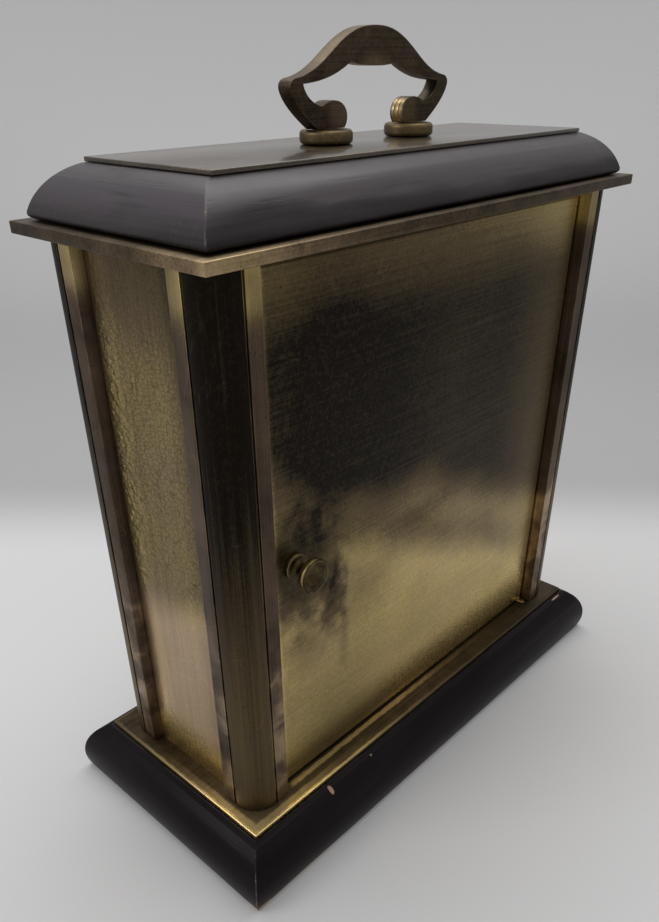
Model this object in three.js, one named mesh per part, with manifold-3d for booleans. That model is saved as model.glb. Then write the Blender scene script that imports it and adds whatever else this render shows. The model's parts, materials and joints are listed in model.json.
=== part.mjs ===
// Spring-driven bracket clock in a brass and ebonised wood case.
// Millimetres, +Z up, dial towards -Y, rear door towards +Y, origin at the middle of the underside.

import * as THREE from 'three';
import { mergeVertices } from 'three/addons/utils/BufferGeometryUtils.js';
import Module from 'manifold-3d';

const wasm = await Module();
wasm.setup();

// ---------------------------------------------------------------- driving dimensions

const SEAT = 0.1; // clearance left between pieces that rest on each other
const FIT = 0.3; // clearance round a piece that sits in a hole or a recess
const WELD = 0.2; // how far bodies that are joined run into each other

// Wood plinth and the brass base plate let into its top
const PLATE_HALF_X = 112.5;
const PLATE_HALF_Y = 45.9;
const BASE_TOP = 25.6;
const BASE_THICK = 3.4;
const LEDGE_TOP = 23.6;

// Body, from the base plate to the cornice plate
const CORNICE_BOTTOM = 224.9;
const CORNICE_TOP = 228.5;
const COLUMN_X = 96.6; // axis of the quarter-round corner columns
const COLUMN_Y = 29.6;
const COLUMN_R = 10.9;
const STRIP_WIDTH = 6.6; // flat strip beside each column
const GROOVE = 0.9; // groove between a column and each of its strips
const PANEL_EDGE_Y = COLUMN_Y - STRIP_WIDTH - 1; // where a side panel's edges meet the posts
const PANEL_X = 103.8; // outer face of the side panels
const PANEL_THICK = 1.2;

// Wood cap and top plate
const CAP_TOP = 243.8;
const TOP_HALF_X = 94.2;
const TOP_HALF_Y = 28.8;
const TOP_THICK = 1.4;
const TOP_FACE = CAP_TOP + SEAT + TOP_THICK;

// Handle
const COLLAR_X = 21.5;
const COLLAR_R = 8.7;
const COLLAR_HEIGHT = 4.2;
const BAIL_THICK = 5.2;
const BAIL_TOP = 277.7;
const BAIL_FOOT = TOP_FACE + COLLAR_HEIGHT + 2 * SEAT;
const BOLT_R = 2;

// Doors, front and rear alike
const DOOR_FACE = 36.3; // outer face, measured from the middle of the clock
const DOOR_THICK = 1.6;
const DOOR_HALF_X = 88.6;
const DOOR_BOTTOM = 26.8;
const DOOR_TOP = 223.7;
const DOOR_EDGE = 2.2; // width of the sloping border
const HINGE = [-86.9, 34.6]; // hinge line, as (x, y)
const KNUCKLE_R = 1.4;
const KNUCKLE_LENGTH = 9;
const PIN_R = 0.7;
const PIN_PLAY = 0.25;
const KNOB_X = 78;
const FRONT_KNOB_X = 83.5;
const KNOB_Z = 124.6;
const SHAFT_R = 2.1;
const SIGHT_HALF_X = 77;
const SIGHT_MARGIN = 11; // from the door's edge to the opening for the glass

// Dial and hands
const DIAL_BACK = -26;
const DIAL_THICK = 1.5;
const DIAL_HALF_X = 87;
const DIAL_BOTTOM = 28;
const DIAL_TOP = 222.5;
const CENTRE_Z = 125;
const RING_OUTER = 80;
const RING_INNER = 57;
const RING_THICK = 1.1;

// Movement plates and pillars
const FRONT_PLATE = [-20, -18];
const BACK_PLATE = [12, 14];
const PLATES_HALF_X = 42;
const PLATES_BOTTOM = 40;
const PLATES_TOP = 192;
const PILLAR_X = 37;
const PILLAR_LOW = 47;
const PILLAR_HIGH = 185;
const ARBOR_R = 1.5;
const BARREL_ARBOR_R = 3;
const CANNON_R = 1.9;
const HOUR_PIPE_R = 3.1;
const STUD_R = 1.2;
const PALLET_R = 1;
const PIVOT_HOLE = 0.35; // clearance of an arbor in its plate
const END_SHAKE = 0.3; // from an arbor's end to the outer face of its plate
const RIM_WIDTH = 1.8; // of a crossed wheel, below its teeth

// Wheel train: teeth, leaves and modules
const GREAT_TEETH = 64;
const GREAT_MODULE = 1;
const SECOND_LEAVES = 8;
const SECOND_TEETH = 48;
const SECOND_MODULE = 0.8;
const CENTRE_LEAVES = 12;
const CENTRE_TEETH = 72;
const CENTRE_MODULE = 0.6;
const THIRD_LEAVES = 6;
const THIRD_TEETH = 70;
const THIRD_MODULE = 0.52;
const ESCAPE_LEAVES = 6;
const ESCAPE_TEETH = 36;
const ESCAPE_R = 15.2;
const ESCAPE_DEPTH = 2.2;
const CANNON_TEETH = 10;
const MINUTE_TEETH = 30;
const CANNON_MODULE = 0.9;
const MINUTE_LEAVES = 8;
const HOUR_TEETH = 32;
const HOUR_MODULE = 0.9;

// Arbor places, as (x, z)
const CENTRE = [0, CENTRE_Z];
const BARREL_DROP = 50;
const BARREL = [0, CENTRE_Z - BARREL_DROP];
const PALLET_ARBOR = [0, 180];
const PALLET_TO_ESCAPE = 18.9;
const CLICK_STUD = [18, BARREL[1] + 11];
const CLICK_SPRING_FOOT = [1.5, BARREL[1] + 22];
const BARREL_TO_SECOND = (GREAT_TEETH + SECOND_LEAVES) * GREAT_MODULE / 2;
const SECOND_TO_CENTRE = (SECOND_TEETH + CENTRE_LEAVES) * SECOND_MODULE / 2;
const CENTRE_TO_THIRD = (CENTRE_TEETH + THIRD_LEAVES) * CENTRE_MODULE / 2;
const THIRD_TO_ESCAPE = (THIRD_TEETH + ESCAPE_LEAVES) * THIRD_MODULE / 2;
const MOTION_DISTANCE = (CANNON_TEETH + MINUTE_TEETH) * CANNON_MODULE / 2;
const ESCAPE = [0, PALLET_ARBOR[1] - PALLET_TO_ESCAPE];
const SECOND = meetingPoint(BARREL, BARREL_TO_SECOND, CENTRE, SECOND_TO_CENTRE, 1);
const THIRD = meetingPoint(CENTRE, CENTRE_TO_THIRD, ESCAPE, THIRD_TO_ESCAPE, -1);
const MINUTE_ANGLE = Math.PI / 6;
const MINUTE = [
  CENTRE[0] + MOTION_DISTANCE * Math.cos(MINUTE_ANGLE),
  CENTRE[1] + MOTION_DISTANCE * Math.sin(MINUTE_ANGLE),
];

// Where each wheel, pinion and lever lies on its arbor, as (front face, back face)
const LAYERS = {
  great: [-12.8, -10.4],
  second: [-16.4, -14.8],
  secondPinion: [-15, -9.4],
  centre: [-7, -5.6],
  centrePinion: [-17.2, -13.8],
  third: [-1, 0.3],
  thirdPinion: [-8.2, -4.4],
  escape: [6, 7.2],
  escapePinion: [-2.2, 1.5],
  anchor: [5.6, 7.6],
  ratchet: [-21.8, -20.4],
  cannon: [-22.9, -20.6],
  minute: [-22.6, -21.4],
  minutePinion: [-25.4, -22.5],
  hour: [-24.6, -23.4],
  hourHand: [-29.6, -29],
  minuteHand: [-31, -30.4],
};

// Pendulum
const PENDULUM_Y = 21;
const CRUTCH_Y = 16.4;
const ROD_R = 1;
const BOB_Z = 53.4;
const BOB_R = 16;
const BOB_THICK = 9;
const NUT_TOP = 36.6;

// Materials: colour, roughness, metalness
const FINISHES = {
  ebonised_wood: [0x2a2023, 0.45, 0],
  aged_brass: [0x7a6a45, 0.38, 1],
  dark_brass: [0x4b4235, 0.42, 1],
  bright_brass: [0xb08d4a, 0.28, 1],
  silvered: [0xc9c6ba, 0.4, 0.9],
  blued_steel: [0x1f2a44, 0.3, 1],
  steel: [0x8b8f93, 0.32, 1],
  glass: [0xdfe8e6, 0.05, 0],
};

// ---------------------------------------------------------------- solids and joining

function solid(geometry) {
  const bare = geometry.clone();
  bare.deleteAttribute('normal');
  bare.deleteAttribute('uv');
  const welded = mergeVertices(bare, 1e-4);
  const mesh = new wasm.Mesh({
    numProp: 3,
    vertProperties: new Float32Array(welded.attributes.position.array),
    triVerts: new Uint32Array(welded.index.array),
  });
  return new wasm.Manifold(mesh);
}

function geometryOf(body) {
  const mesh = body.getMesh();
  const geometry = new THREE.BufferGeometry();
  geometry.setAttribute('position', new THREE.BufferAttribute(mesh.vertProperties, 3));
  geometry.setIndex(new THREE.BufferAttribute(mesh.triVerts, 1));
  return geometry;
}

const joined = (...bodies) => bodies.reduce((whole, body) => whole.add(body));
const cut = (whole, ...tools) => tools.reduce((rest, tool) => rest.subtract(tool), whole);

const clock = new THREE.Group();

function addPiece(name, finish, body) {
  const [color, roughness, metalness] = FINISHES[finish];
  const geometry = geometryOf(body).toNonIndexed();
  geometry.computeVertexNormals();
  const material = new THREE.MeshStandardMaterial({ color, roughness, metalness });
  material.name = finish;
  const mesh = new THREE.Mesh(geometry, material);
  mesh.name = name;
  clock.add(mesh);
}

// ---------------------------------------------------------------- basic forms

function box(x0, x1, y0, y1, z0, z1) {
  const geometry = new THREE.BoxGeometry(x1 - x0, y1 - y0, z1 - z0);
  geometry.translate((x0 + x1) / 2, (y0 + y1) / 2, (z0 + z1) / 2);
  return solid(geometry);
}

function polygon(points) {
  return new THREE.Shape(points.map(([x, y]) => new THREE.Vector2(x, y)));
}

function extruded(shape, depth, curveSegments) {
  return new THREE.ExtrudeGeometry(shape, { depth, bevelEnabled: false, curveSegments });
}

// An outline drawn in X and Z, as thick as the stretch from y0 to y1
function slabY(shape, y0, y1, curveSegments = 6) {
  const geometry = extruded(shape, y1 - y0, curveSegments);
  geometry.rotateX(Math.PI / 2);
  geometry.translate(0, y1, 0);
  return solid(geometry);
}

// An outline drawn in X and Y, standing from z0 to z1
function slabZ(shape, z0, z1, curveSegments = 6) {
  const geometry = extruded(shape, z1 - z0, curveSegments);
  geometry.translate(0, 0, z0);
  return solid(geometry);
}

// An outline drawn in Y and Z, running from x0 to x1
function slabX(shape, x0, x1) {
  const geometry = extruded(shape, x1 - x0, 6);
  const axes = [[0, 1, 0], [0, 0, 1], [1, 0, 0]].map((axis) => new THREE.Vector3(...axis));
  geometry.applyMatrix4(new THREE.Matrix4().makeBasis(...axes));
  geometry.translate(x0, 0, 0);
  return solid(geometry);
}

function rodY([x, z], radius, y0, y1, sides = 10) {
  const geometry = new THREE.CylinderGeometry(radius, radius, y1 - y0, sides);
  geometry.translate(x, (y0 + y1) / 2, z);
  return solid(geometry);
}

function rodZ([x, y], radius, z0, z1, sides = 12) {
  const geometry = new THREE.CylinderGeometry(radius, radius, z1 - z0, sides);
  geometry.rotateX(Math.PI / 2);
  geometry.translate(x, y, (z0 + z1) / 2);
  return solid(geometry);
}

// A turned piece whose profile is a list of (radius, height along the axis)
function turnedY([x, z], profile, sides = 24) {
  const geometry = new THREE.LatheGeometry(profile.map(([r, y]) => new THREE.Vector2(r, y)), sides);
  geometry.translate(x, 0, z);
  return solid(geometry);
}

function turnedZ([x, y], profile, sides = 24) {
  const geometry = new THREE.LatheGeometry(profile.map(([r, z]) => new THREE.Vector2(r, z)), sides);
  geometry.rotateX(Math.PI / 2);
  geometry.translate(x, y, 0);
  return solid(geometry);
}

// Two circles round a and b meet at two points: side picks one
function meetingPoint([ax, az], ra, [bx, bz], rb, side) {
  const dx = bx - ax;
  const dz = bz - az;
  const d = Math.hypot(dx, dz);
  const along = (ra * ra - rb * rb + d * d) / (2 * d);
  const off = side * Math.sqrt(ra * ra - along * along);
  return [ax + (along * dx + off * dz) / d, az + (along * dz - off * dx) / d];
}

// A moulding that runs round a rectangle and meets itself in mitred corners.
// The profile is a list of (step out from the rectangle, height), bottom to top.
function moulding(halfX, halfY, profile) {
  const outline = (half) => polygon([
    ...profile.map(([out, z]) => [half + out, z]),
    ...profile.map(([out, z]) => [-half - out, z]).reverse(),
  ]);
  const reach = Math.max(...profile.map(([out]) => out)) + 1;
  const along = slabY(outline(halfX), -halfY - reach, halfY + reach);
  const across = slabX(outline(halfY), -halfX - reach, halfX + reach);
  return along.intersect(across);
}

function arcPoints([cx, cy], radius, from, to, steps) {
  return Array.from({ length: steps + 1 }, (_, i) => {
    const a = from + (to - from) * i / steps;
    return [cx + radius * Math.cos(a), cy + radius * Math.sin(a)];
  });
}

const ascending = (a, b) => a - b;
const SIDES = [['left', -1], ['right', 1]];

// ---------------------------------------------------------------- wood and plates

function buildPlinth() {
  // A nose of one radius rolls up from the foot to an arris, with a sloping ledge above it
  const ledgeOut = 0.6;
  const noseRadius = 19.1;
  const noseCentre = [-8.1, 7.4];
  const footAngle = -Math.asin(noseCentre[1] / noseRadius);
  const nose = arcPoints(noseCentre, noseRadius, footAngle, 0.24 * Math.PI, 9);
  const arris = [3, 23];
  const profile = [...nose, arris, [ledgeOut, LEDGE_TOP]];
  const whole = moulding(PLATE_HALF_X, PLATE_HALF_Y, profile);
  const x = PLATE_HALF_X + ledgeOut;
  const y = PLATE_HALF_Y + ledgeOut;
  const recess = box(-x, x, -y, y, BASE_TOP - BASE_THICK - SEAT, BASE_TOP);
  addPiece('wood_plinth', 'ebonised_wood', cut(whole, recess));
}

function bevelledPlate(halfX, halfY, z0, z1, bevel) {
  const profile = [[-bevel, z0], [0, z0 + bevel], [0, z1 - bevel], [-bevel, z1]];
  return moulding(halfX, halfY, profile);
}

function buildPlates() {
  const edge = 0.5;
  const base = bevelledPlate(PLATE_HALF_X, PLATE_HALF_Y, BASE_TOP - BASE_THICK, BASE_TOP, edge);
  addPiece('base_plate', 'aged_brass', base);
  const cornice = bevelledPlate(PLATE_HALF_X, PLATE_HALF_Y, CORNICE_BOTTOM, CORNICE_TOP, edge);
  const corniceHoles = boltHoles(CORNICE_BOTTOM - 1, CORNICE_TOP + 1);
  addPiece('cornice_plate', 'aged_brass', cut(cornice, ...corniceHoles));
  const top = bevelledPlate(TOP_HALF_X, TOP_HALF_Y, CAP_TOP + SEAT, TOP_FACE, edge / 2);
  addPiece('top_plate', 'dark_brass', cut(top, ...boltHoles(CAP_TOP - 1, TOP_FACE + 1)));
}

function boltHoles(z0, z1) {
  return [-COLLAR_X, COLLAR_X].map((x) => rodZ([x, 0], BOLT_R + FIT, z0, z1));
}

function buildCap() {
  // An ovolo of one radius that rises to the top plate and tucks back in at its foot
  const low = CORNICE_TOP + SEAT;
  const radius = 20.4;
  const drop = 19.5; // from the cap's top to the arc's centre
  const centre = [-23.4, CAP_TOP - drop];
  const rise = arcPoints(centre, radius, 0.1 * Math.PI, Math.asin(drop / radius), 10);
  const foot = [[-6, low], [-4.2, low + 1]];
  const profile = [...foot, ...rise];
  const whole = moulding(PLATE_HALF_X, PLATE_HALF_Y, profile);
  addPiece('wood_cap', 'ebonised_wood', cut(whole, ...boltHoles(low - 1, CAP_TOP + 1)));
}

// ---------------------------------------------------------------- corner posts and side panels

// One quarter of the case section: strip, groove, quarter-round, groove, strip,
// then the returns that hold the side panel and close behind the door's edge.
function postSection() {
  const rear = COLUMN_Y + COLUMN_R;
  const side = COLUMN_X + COLUMN_R;
  const stripX = COLUMN_X - STRIP_WIDTH;
  const stripY = COLUMN_Y - STRIP_WIDTH;
  const lipOut = PANEL_X - PANEL_THICK - FIT; // a lip stands behind the panel's edge
  const lipIn = lipOut - 1.2;
  const lipY = PANEL_EDGE_Y - 3;
  const stopX = 88; // a stop stands behind the door's edge
  const stopBack = 31.5;
  const stopFace = 32.7;
  const jambX = DOOR_HALF_X + 0.9;
  return [
    [stripX, rear],
    [COLUMN_X - GROOVE, rear],
    [COLUMN_X - GROOVE, rear - GROOVE],
    [COLUMN_X, rear - GROOVE],
    ...arcPoints([COLUMN_X, COLUMN_Y], COLUMN_R, Math.PI / 2, 0, 8),
    [side - GROOVE, COLUMN_Y],
    [side - GROOVE, COLUMN_Y - GROOVE],
    [side, COLUMN_Y - GROOVE],
    [side, stripY],
    [PANEL_X, PANEL_EDGE_Y],
    [lipOut, PANEL_EDGE_Y],
    [lipOut, lipY],
    [lipIn, lipY],
    [lipIn, COLUMN_Y - 1.6],
    [COLUMN_X - 3, stopBack],
    [stopX, stopBack],
    [stopX, stopFace],
    [jambX, stopFace],
    [jambX, DOOR_FACE + 0.4],
  ];
}

function buildPosts() {
  for (const [end, sy] of [['front', -1], ['rear', 1]]) {
    for (const [side, sx] of SIDES) {
      const points = postSection().map(([x, y]) => [x * sx, y * sy]);
      const post = slabZ(polygon(points), BASE_TOP + SEAT, CORNICE_BOTTOM - SEAT);
      addPiece(`corner_post_${end}_${side}`, 'dark_brass', post);
    }
  }
}

function buildSidePanels() {
  const halfY = PANEL_EDGE_Y - FIT;
  for (const [side, sx] of SIDES) {
    const [x0, x1] = [sx * PANEL_X, sx * (PANEL_X - PANEL_THICK)].sort(ascending);
    const panel = box(x0, x1, -halfY, halfY, BASE_TOP + SEAT, CORNICE_BOTTOM - SEAT);
    addPiece(`side_panel_${side}`, 'aged_brass', panel);
  }
}

// ---------------------------------------------------------------- carrying handle

// Half of the bail's outline, from the crown down the leg, round the scroll and back under the arm
function bailHalf(path) {
  path.bezierCurveTo(8, BAIL_TOP, 13, 275.8, 20.3, 271.2);
  path.bezierCurveTo(26, 267.4, 30, 265, 36.4, 263.9);
  path.quadraticCurveTo(40.2, 263.6, 39.8, 261);
  path.bezierCurveTo(38.8, 257.6, 34.5, 254, 28, BAIL_FOOT);
  path.lineTo(15.4, BAIL_FOOT);
  path.bezierCurveTo(12.6, 252.6, 14.2, 257.6, 20.4, 257.6);
  path.bezierCurveTo(23, 257.6, 24.4, 256.6, 26, 256.2);
  path.bezierCurveTo(29.5, 256.6, 33.4, 259, 34.1, 262.2);
  path.bezierCurveTo(28.4, 262.6, 21, 263.2, 12, 268);
  path.quadraticCurveTo(7, 266.6, 0, 266.7);
}

function bailBody(thickness, bevel) {
  const half = new THREE.Shape();
  half.moveTo(0, BAIL_TOP);
  bailHalf(half);
  const points = half.getPoints(4);
  const mirrored = points.slice(1, -1).map((p) => new THREE.Vector2(-p.x, p.y)).reverse();
  const outline = new THREE.Shape([...points, ...mirrored]);
  const geometry = new THREE.ExtrudeGeometry(outline, {
    depth: thickness - 2 * bevel,
    bevelEnabled: true,
    bevelThickness: bevel,
    bevelSize: bevel,
    bevelOffset: -bevel,
    bevelSegments: 1,
  });
  geometry.rotateX(Math.PI / 2);
  geometry.translate(0, thickness / 2 - bevel, 0);
  return solid(geometry);
}

// Two fine channels round each scroll leave three reeds across its width
function reedCuts() {
  const scroll = [20.4, 251.6];
  const outerR = 8;
  const innerR = 5.5;
  const halfWidth = 0.2;
  const spacing = 0.9;
  return [-spacing, spacing].flatMap((y) => SIDES.map(([, s]) => {
    const at = [s * scroll[0], scroll[1]];
    const ring = rodY(at, outerR, y - halfWidth, y + halfWidth, 12);
    const core = rodY(at, innerR, y - 2 * halfWidth, y + 2 * halfWidth, 12);
    const [x0, x1] = [s * 12, s * 21].sort(ascending);
    const scrollEnd = box(x0, x1, -BAIL_THICK, BAIL_THICK, BAIL_FOOT + 0.2, 259);
    return cut(ring, core).intersect(scrollEnd);
  }));
}

function buildHandle() {
  const collarFoot = TOP_FACE + SEAT;
  const collarTop = collarFoot + COLLAR_HEIGHT;
  const bail = bailBody(BAIL_THICK, 0.7);
  const tappedTop = 255;
  const tapped = boltHoles(TOP_FACE, tappedTop);
  addPiece('carry_handle', 'dark_brass', cut(bail, ...reedCuts(), ...tapped));
  const rim = 1.3;
  const boreR = BOLT_R + FIT;
  const collarProfile = [
    [boreR, collarFoot],
    [COLLAR_R - rim, collarFoot],
    [COLLAR_R, collarFoot + rim],
    [COLLAR_R, collarTop - rim],
    [COLLAR_R - rim, collarTop],
    [boreR, collarTop],
    [boreR, collarFoot],
  ];
  for (const [side, s] of SIDES) {
    const at = [s * COLLAR_X, 0];
    addPiece(`handle_collar_${side}`, 'dark_brass', turnedZ(at, collarProfile, 16));
    const head = rodZ(at, 4, CORNICE_BOTTOM - 3, CORNICE_BOTTOM - SEAT, 6);
    const shank = rodZ(at, BOLT_R, CORNICE_BOTTOM - 1, tappedTop - 0.6, 10);
    addPiece(`handle_bolt_${side}`, 'steel', joined(head, shank));
  }
}

// ---------------------------------------------------------------- doors

// A sheet with a sloping border round its outer face, drawn for the rear
function borderedSheet() {
  const rim = 0.8; // how far the sheet's rim lies below its face
  const inner = DOOR_FACE - DOOR_THICK;
  const levels = [[0, inner], [0, DOOR_FACE - rim], [-DOOR_EDGE, DOOR_FACE]];
  const right = levels.map(([out, y]) => [DOOR_HALF_X + out, y]);
  const left = levels.map(([out, y]) => [-DOOR_HALF_X - out, y]).reverse();
  const wide = slabZ(polygon([...right, ...left]), DOOR_BOTTOM, DOOR_TOP);
  const low = levels.map(([out, y]) => [y, DOOR_BOTTOM - out]);
  const high = levels.map(([out, y]) => [y, DOOR_TOP + out]).reverse();
  const tall = slabX(polygon([...low, ...high]), -DOOR_HALF_X, DOOR_HALF_X);
  return wide.intersect(tall);
}

// A rod on the hinge line at each end of the door, from beyond its edge to some reach within
function hingeRods(radius, beyond, reach) {
  const low = rodZ(HINGE, radius, DOOR_BOTTOM - beyond, DOOR_BOTTOM + reach, 8);
  const high = rodZ(HINGE, radius, DOOR_TOP - reach, DOOR_TOP + beyond, 8);
  return joined(low, high);
}

const knuckles = () => hingeRods(KNUCKLE_R, 0, KNUCKLE_LENGTH);
const pinHoles = () => hingeRods(PIN_R + PIN_PLAY, 1, 6);
const shaftHole = (x) => rodY([x, KNOB_Z], SHAFT_R + FIT, 25, 40, 12);

function facing(front, body) {
  return front ? body.mirror([0, 1, 0]) : body;
}

function buildRearDoor() {
  // The sheet's edges fold inwards on three sides and stiffen it
  const inner = DOOR_FACE - DOOR_THICK;
  const foldY = [inner - 1.6, inner + WELD];
  const lip = 1.2;
  const margin = 2;
  const hingeX = -80;
  const latchX = 86.2;
  const low = DOOR_BOTTOM + margin;
  const high = DOOR_TOP - margin;
  const latchFold = box(latchX - lip, latchX, ...foldY, low, high);
  const lowFold = box(hingeX, latchX, ...foldY, low, low + lip);
  const highFold = box(hingeX, latchX, ...foldY, high - lip, high);
  const door = joined(borderedSheet(), knuckles(), latchFold, lowFold, highFold);
  addPiece('rear_door', 'aged_brass', cut(door, pinHoles(), shaftHole(KNOB_X)));
}

function buildFrontDoor() {
  const inner = DOOR_FACE - DOOR_THICK;
  const sightX = SIGHT_HALF_X;
  const low = DOOR_BOTTOM + SIGHT_MARGIN;
  const high = DOOR_TOP - SIGHT_MARGIN;
  const rim = 5;
  const grip = 3; // how far the glass runs under the channel
  const room = grip + FIT;
  // A raised channel behind the sheet holds the glass
  const channel = box(-sightX - rim, sightX + rim, inner - 2.1, inner + WELD, low - rim, high + rim);
  const rebate = box(-sightX - room, sightX + room, inner - 3, inner, low - room, high + room);
  const sight = box(-sightX, sightX, inner - 5, DOOR_FACE + 1, low, high);
  const leaf = joined(borderedSheet(), knuckles(), channel);
  const frame = cut(leaf, rebate, sight, pinHoles(), shaftHole(FRONT_KNOB_X));
  addPiece('front_door_frame', 'aged_brass', facing(true, frame));
  const glassX = sightX + grip;
  const glass = box(-glassX, glassX, inner - 1.9, inner - SEAT, low - grip, high + grip);
  addPiece('front_door_glass', 'glass', facing(true, glass));
}

// Turned knob: collar on the door, narrow neck, dished head with a raised ring and a domed middle
function knobBody(x, scale) {
  const face = DOOR_FACE + SEAT;
  const innerEnd = 30.2;
  const shaft = [[0, innerEnd], [SHAFT_R, innerEnd], [SHAFT_R, face]];
  const collar = [[4.7, 0], [4.7, 1.6], [2.5, 2.2]];
  const head = [[2.4, 5.6], [5.8, 7.2], [6.3, 9], [5.6, 10.6], [4.6, 10.2], [2.6, 12.4], [0, 13.2]];
  const shown = [...collar, ...head].map(([r, out]) => [r * scale, face + out]);
  return turnedY([x, KNOB_Z], [...shaft, ...shown], 14);
}

// The latch hangs straight down when it is open and turns level behind the post's edge to close
function latchBody(x, reach) {
  const eyeR = 4;
  const tipR = 2.6;
  const tipZ = KNOB_Z - reach + tipR;
  const shape = new THREE.Shape();
  shape.absarc(x, KNOB_Z, eyeR, 0.25, Math.PI - 0.25, false);
  shape.lineTo(x - tipR, tipZ - 0.4);
  shape.absarc(x, tipZ, tipR, Math.PI, 2 * Math.PI, false);
  const plate = slabY(shape, 29, 30.1, 6);
  const nut = rodY([x, KNOB_Z], 3, 27.6, 29 + WELD, 6);
  return joined(plate, nut);
}

function buildLatches() {
  const rear = { x: KNOB_X, reach: 15.6 };
  const front = { x: FRONT_KNOB_X, reach: 10, scale: 0.72 };
  addPiece('rear_door_knob', 'bright_brass', knobBody(rear.x, 1));
  addPiece('rear_door_latch', 'aged_brass', latchBody(rear.x, rear.reach));
  addPiece('front_door_knob', 'bright_brass', facing(true, knobBody(front.x, front.scale)));
  addPiece('front_door_latch', 'aged_brass', facing(true, latchBody(front.x, front.reach)));
}

// Flat round-ended lug with a pin, above and below each door
function buildPivots() {
  const [x, y] = HINGE;
  const tabR = 1.9;
  const tabOut = 2.5;
  const tabThick = 0.8;
  const pinLength = 5.4;
  const tab = new THREE.Shape();
  tab.absarc(x, y, tabR, Math.PI, 2 * Math.PI, false);
  tab.absarc(x, y + tabOut, tabR, 0, Math.PI, false);
  const low = BASE_TOP + SEAT;
  const high = CORNICE_BOTTOM - SEAT;
  const lowTab = slabZ(tab, low, low + tabThick, 4);
  const lowPin = rodZ(HINGE, PIN_R, low + WELD, low + pinLength, 8);
  const highTab = slabZ(tab, high - tabThick, high, 4);
  const highPin = rodZ(HINGE, PIN_R, high - pinLength, high - WELD, 8);
  for (const [end, front] of [['front', true], ['rear', false]]) {
    addPiece(`${end}_pivot_lower`, 'bright_brass', facing(front, joined(lowTab, lowPin)));
    addPiece(`${end}_pivot_upper`, 'bright_brass', facing(front, joined(highTab, highPin)));
  }
}

// ---------------------------------------------------------------- wheels and pinions

const TAU = 2 * Math.PI;

const rootRadius = (teeth, module) => teeth * module / 2 - 1.2 * module;

// Wheel teeth: pointed, with straight flanks and play at the pitch circle
function wheelOutline(teeth, module, phase) {
  const r = teeth * module / 2;
  const tip = r + module;
  const root = rootRadius(teeth, module);
  const base = 1.32 * module;
  const corners = [[root, -base], [tip, 0], [root, base]];
  return Array.from({ length: teeth }, (_, k) => corners.map(([radius, side]) => {
    const a = phase + k * TAU / teeth + side / radius;
    return [radius * Math.cos(a), radius * Math.sin(a)];
  })).flat();
}

// Pinion leaves: slim and nearly parallel, so that the wheel's teeth clear their roots
function pinionOutline(leaves, module, phase) {
  const r = leaves * module / 2;
  const root = [r - 1.3 * module, 0.45 * module];
  const tip = [r + 0.8 * module, 0.32 * module];
  const corners = [[root[0], -root[1]], [tip[0], -tip[1]], tip, root];
  return Array.from({ length: leaves }, (_, k) => {
    const a = phase + k * TAU / leaves;
    const turned = ([x, y]) => [x * Math.cos(a) - y * Math.sin(a), x * Math.sin(a) + y * Math.cos(a)];
    return corners.map(turned);
  }).flat();
}

// Phase that puts a gap of the driven gear on the tooth of the driving one
function meshPhase([ax, az], teethA, phaseA, [bx, bz], teethB) {
  const line = Math.atan2(bz - az, bx - ax);
  const lead = phaseA - line;
  return line + Math.PI + Math.PI / teethB - lead * teethA / teethB;
}

function shifted(points, [x, z]) {
  return points.map(([px, pz]) => [px + x, pz + z]);
}

const polar = ([radius, angle]) => [radius * Math.cos(angle), radius * Math.sin(angle)];

// A wheel crossed out to leave straight arms between its hub and its rim
function crossedWheel(at, outline, root, hub, arms, layer) {
  const rim = root - RIM_WIDTH;
  const shape = polygon(shifted(outline, at));
  const armHalf = 0.9;
  for (let k = 0; k < arms; k += 1) {
    const from = k * TAU / arms;
    const to = from + TAU / arms;
    const outer = arcPoints([0, 0], rim, from + armHalf / rim, to - armHalf / rim, 3);
    const inner = arcPoints([0, 0], hub, to - armHalf / hub, from + armHalf / hub, 1);
    const gap = shifted([...outer, ...inner], at).map(([x, z]) => new THREE.Vector2(x, z));
    shape.holes.push(new THREE.Path(gap));
  }
  return slabY(shape, ...layer);
}

function pinion(at, leaves, module, phase, layer) {
  return slabY(polygon(shifted(pinionOutline(leaves, module, phase), at)), ...layer);
}

function plainWheel(at, teeth, module, phase, layer) {
  return slabY(polygon(shifted(wheelOutline(teeth, module, phase), at)), ...layer);
}

const GREAT_PHASE = 0;
const SECOND_PINION_PHASE = meshPhase(BARREL, GREAT_TEETH, GREAT_PHASE, SECOND, SECOND_LEAVES);
const SECOND_PHASE = 0;
const CENTRE_PINION_PHASE = meshPhase(SECOND, SECOND_TEETH, SECOND_PHASE, CENTRE, CENTRE_LEAVES);
const CENTRE_PHASE = 0;
const THIRD_PINION_PHASE = meshPhase(CENTRE, CENTRE_TEETH, CENTRE_PHASE, THIRD, THIRD_LEAVES);
const THIRD_PHASE = 0;
const ESCAPE_PINION_PHASE = meshPhase(THIRD, THIRD_TEETH, THIRD_PHASE, ESCAPE, ESCAPE_LEAVES);
const CANNON_PHASE = 0;
const MINUTE_PHASE = meshPhase(CENTRE, CANNON_TEETH, CANNON_PHASE, MINUTE, MINUTE_TEETH);
const MINUTE_PINION_PHASE = 0;
const HOUR_PHASE = meshPhase(MINUTE, MINUTE_LEAVES, MINUTE_PINION_PHASE, CENTRE, HOUR_TEETH);

const INNER_FRONT = FRONT_PLATE[1];
const INNER_BACK = BACK_PLATE[0];

function arborBetweenPlates(at, radius = ARBOR_R) {
  return rodY(at, radius, FRONT_PLATE[0] + END_SHAKE, BACK_PLATE[1] - END_SHAKE, 8);
}

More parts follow.
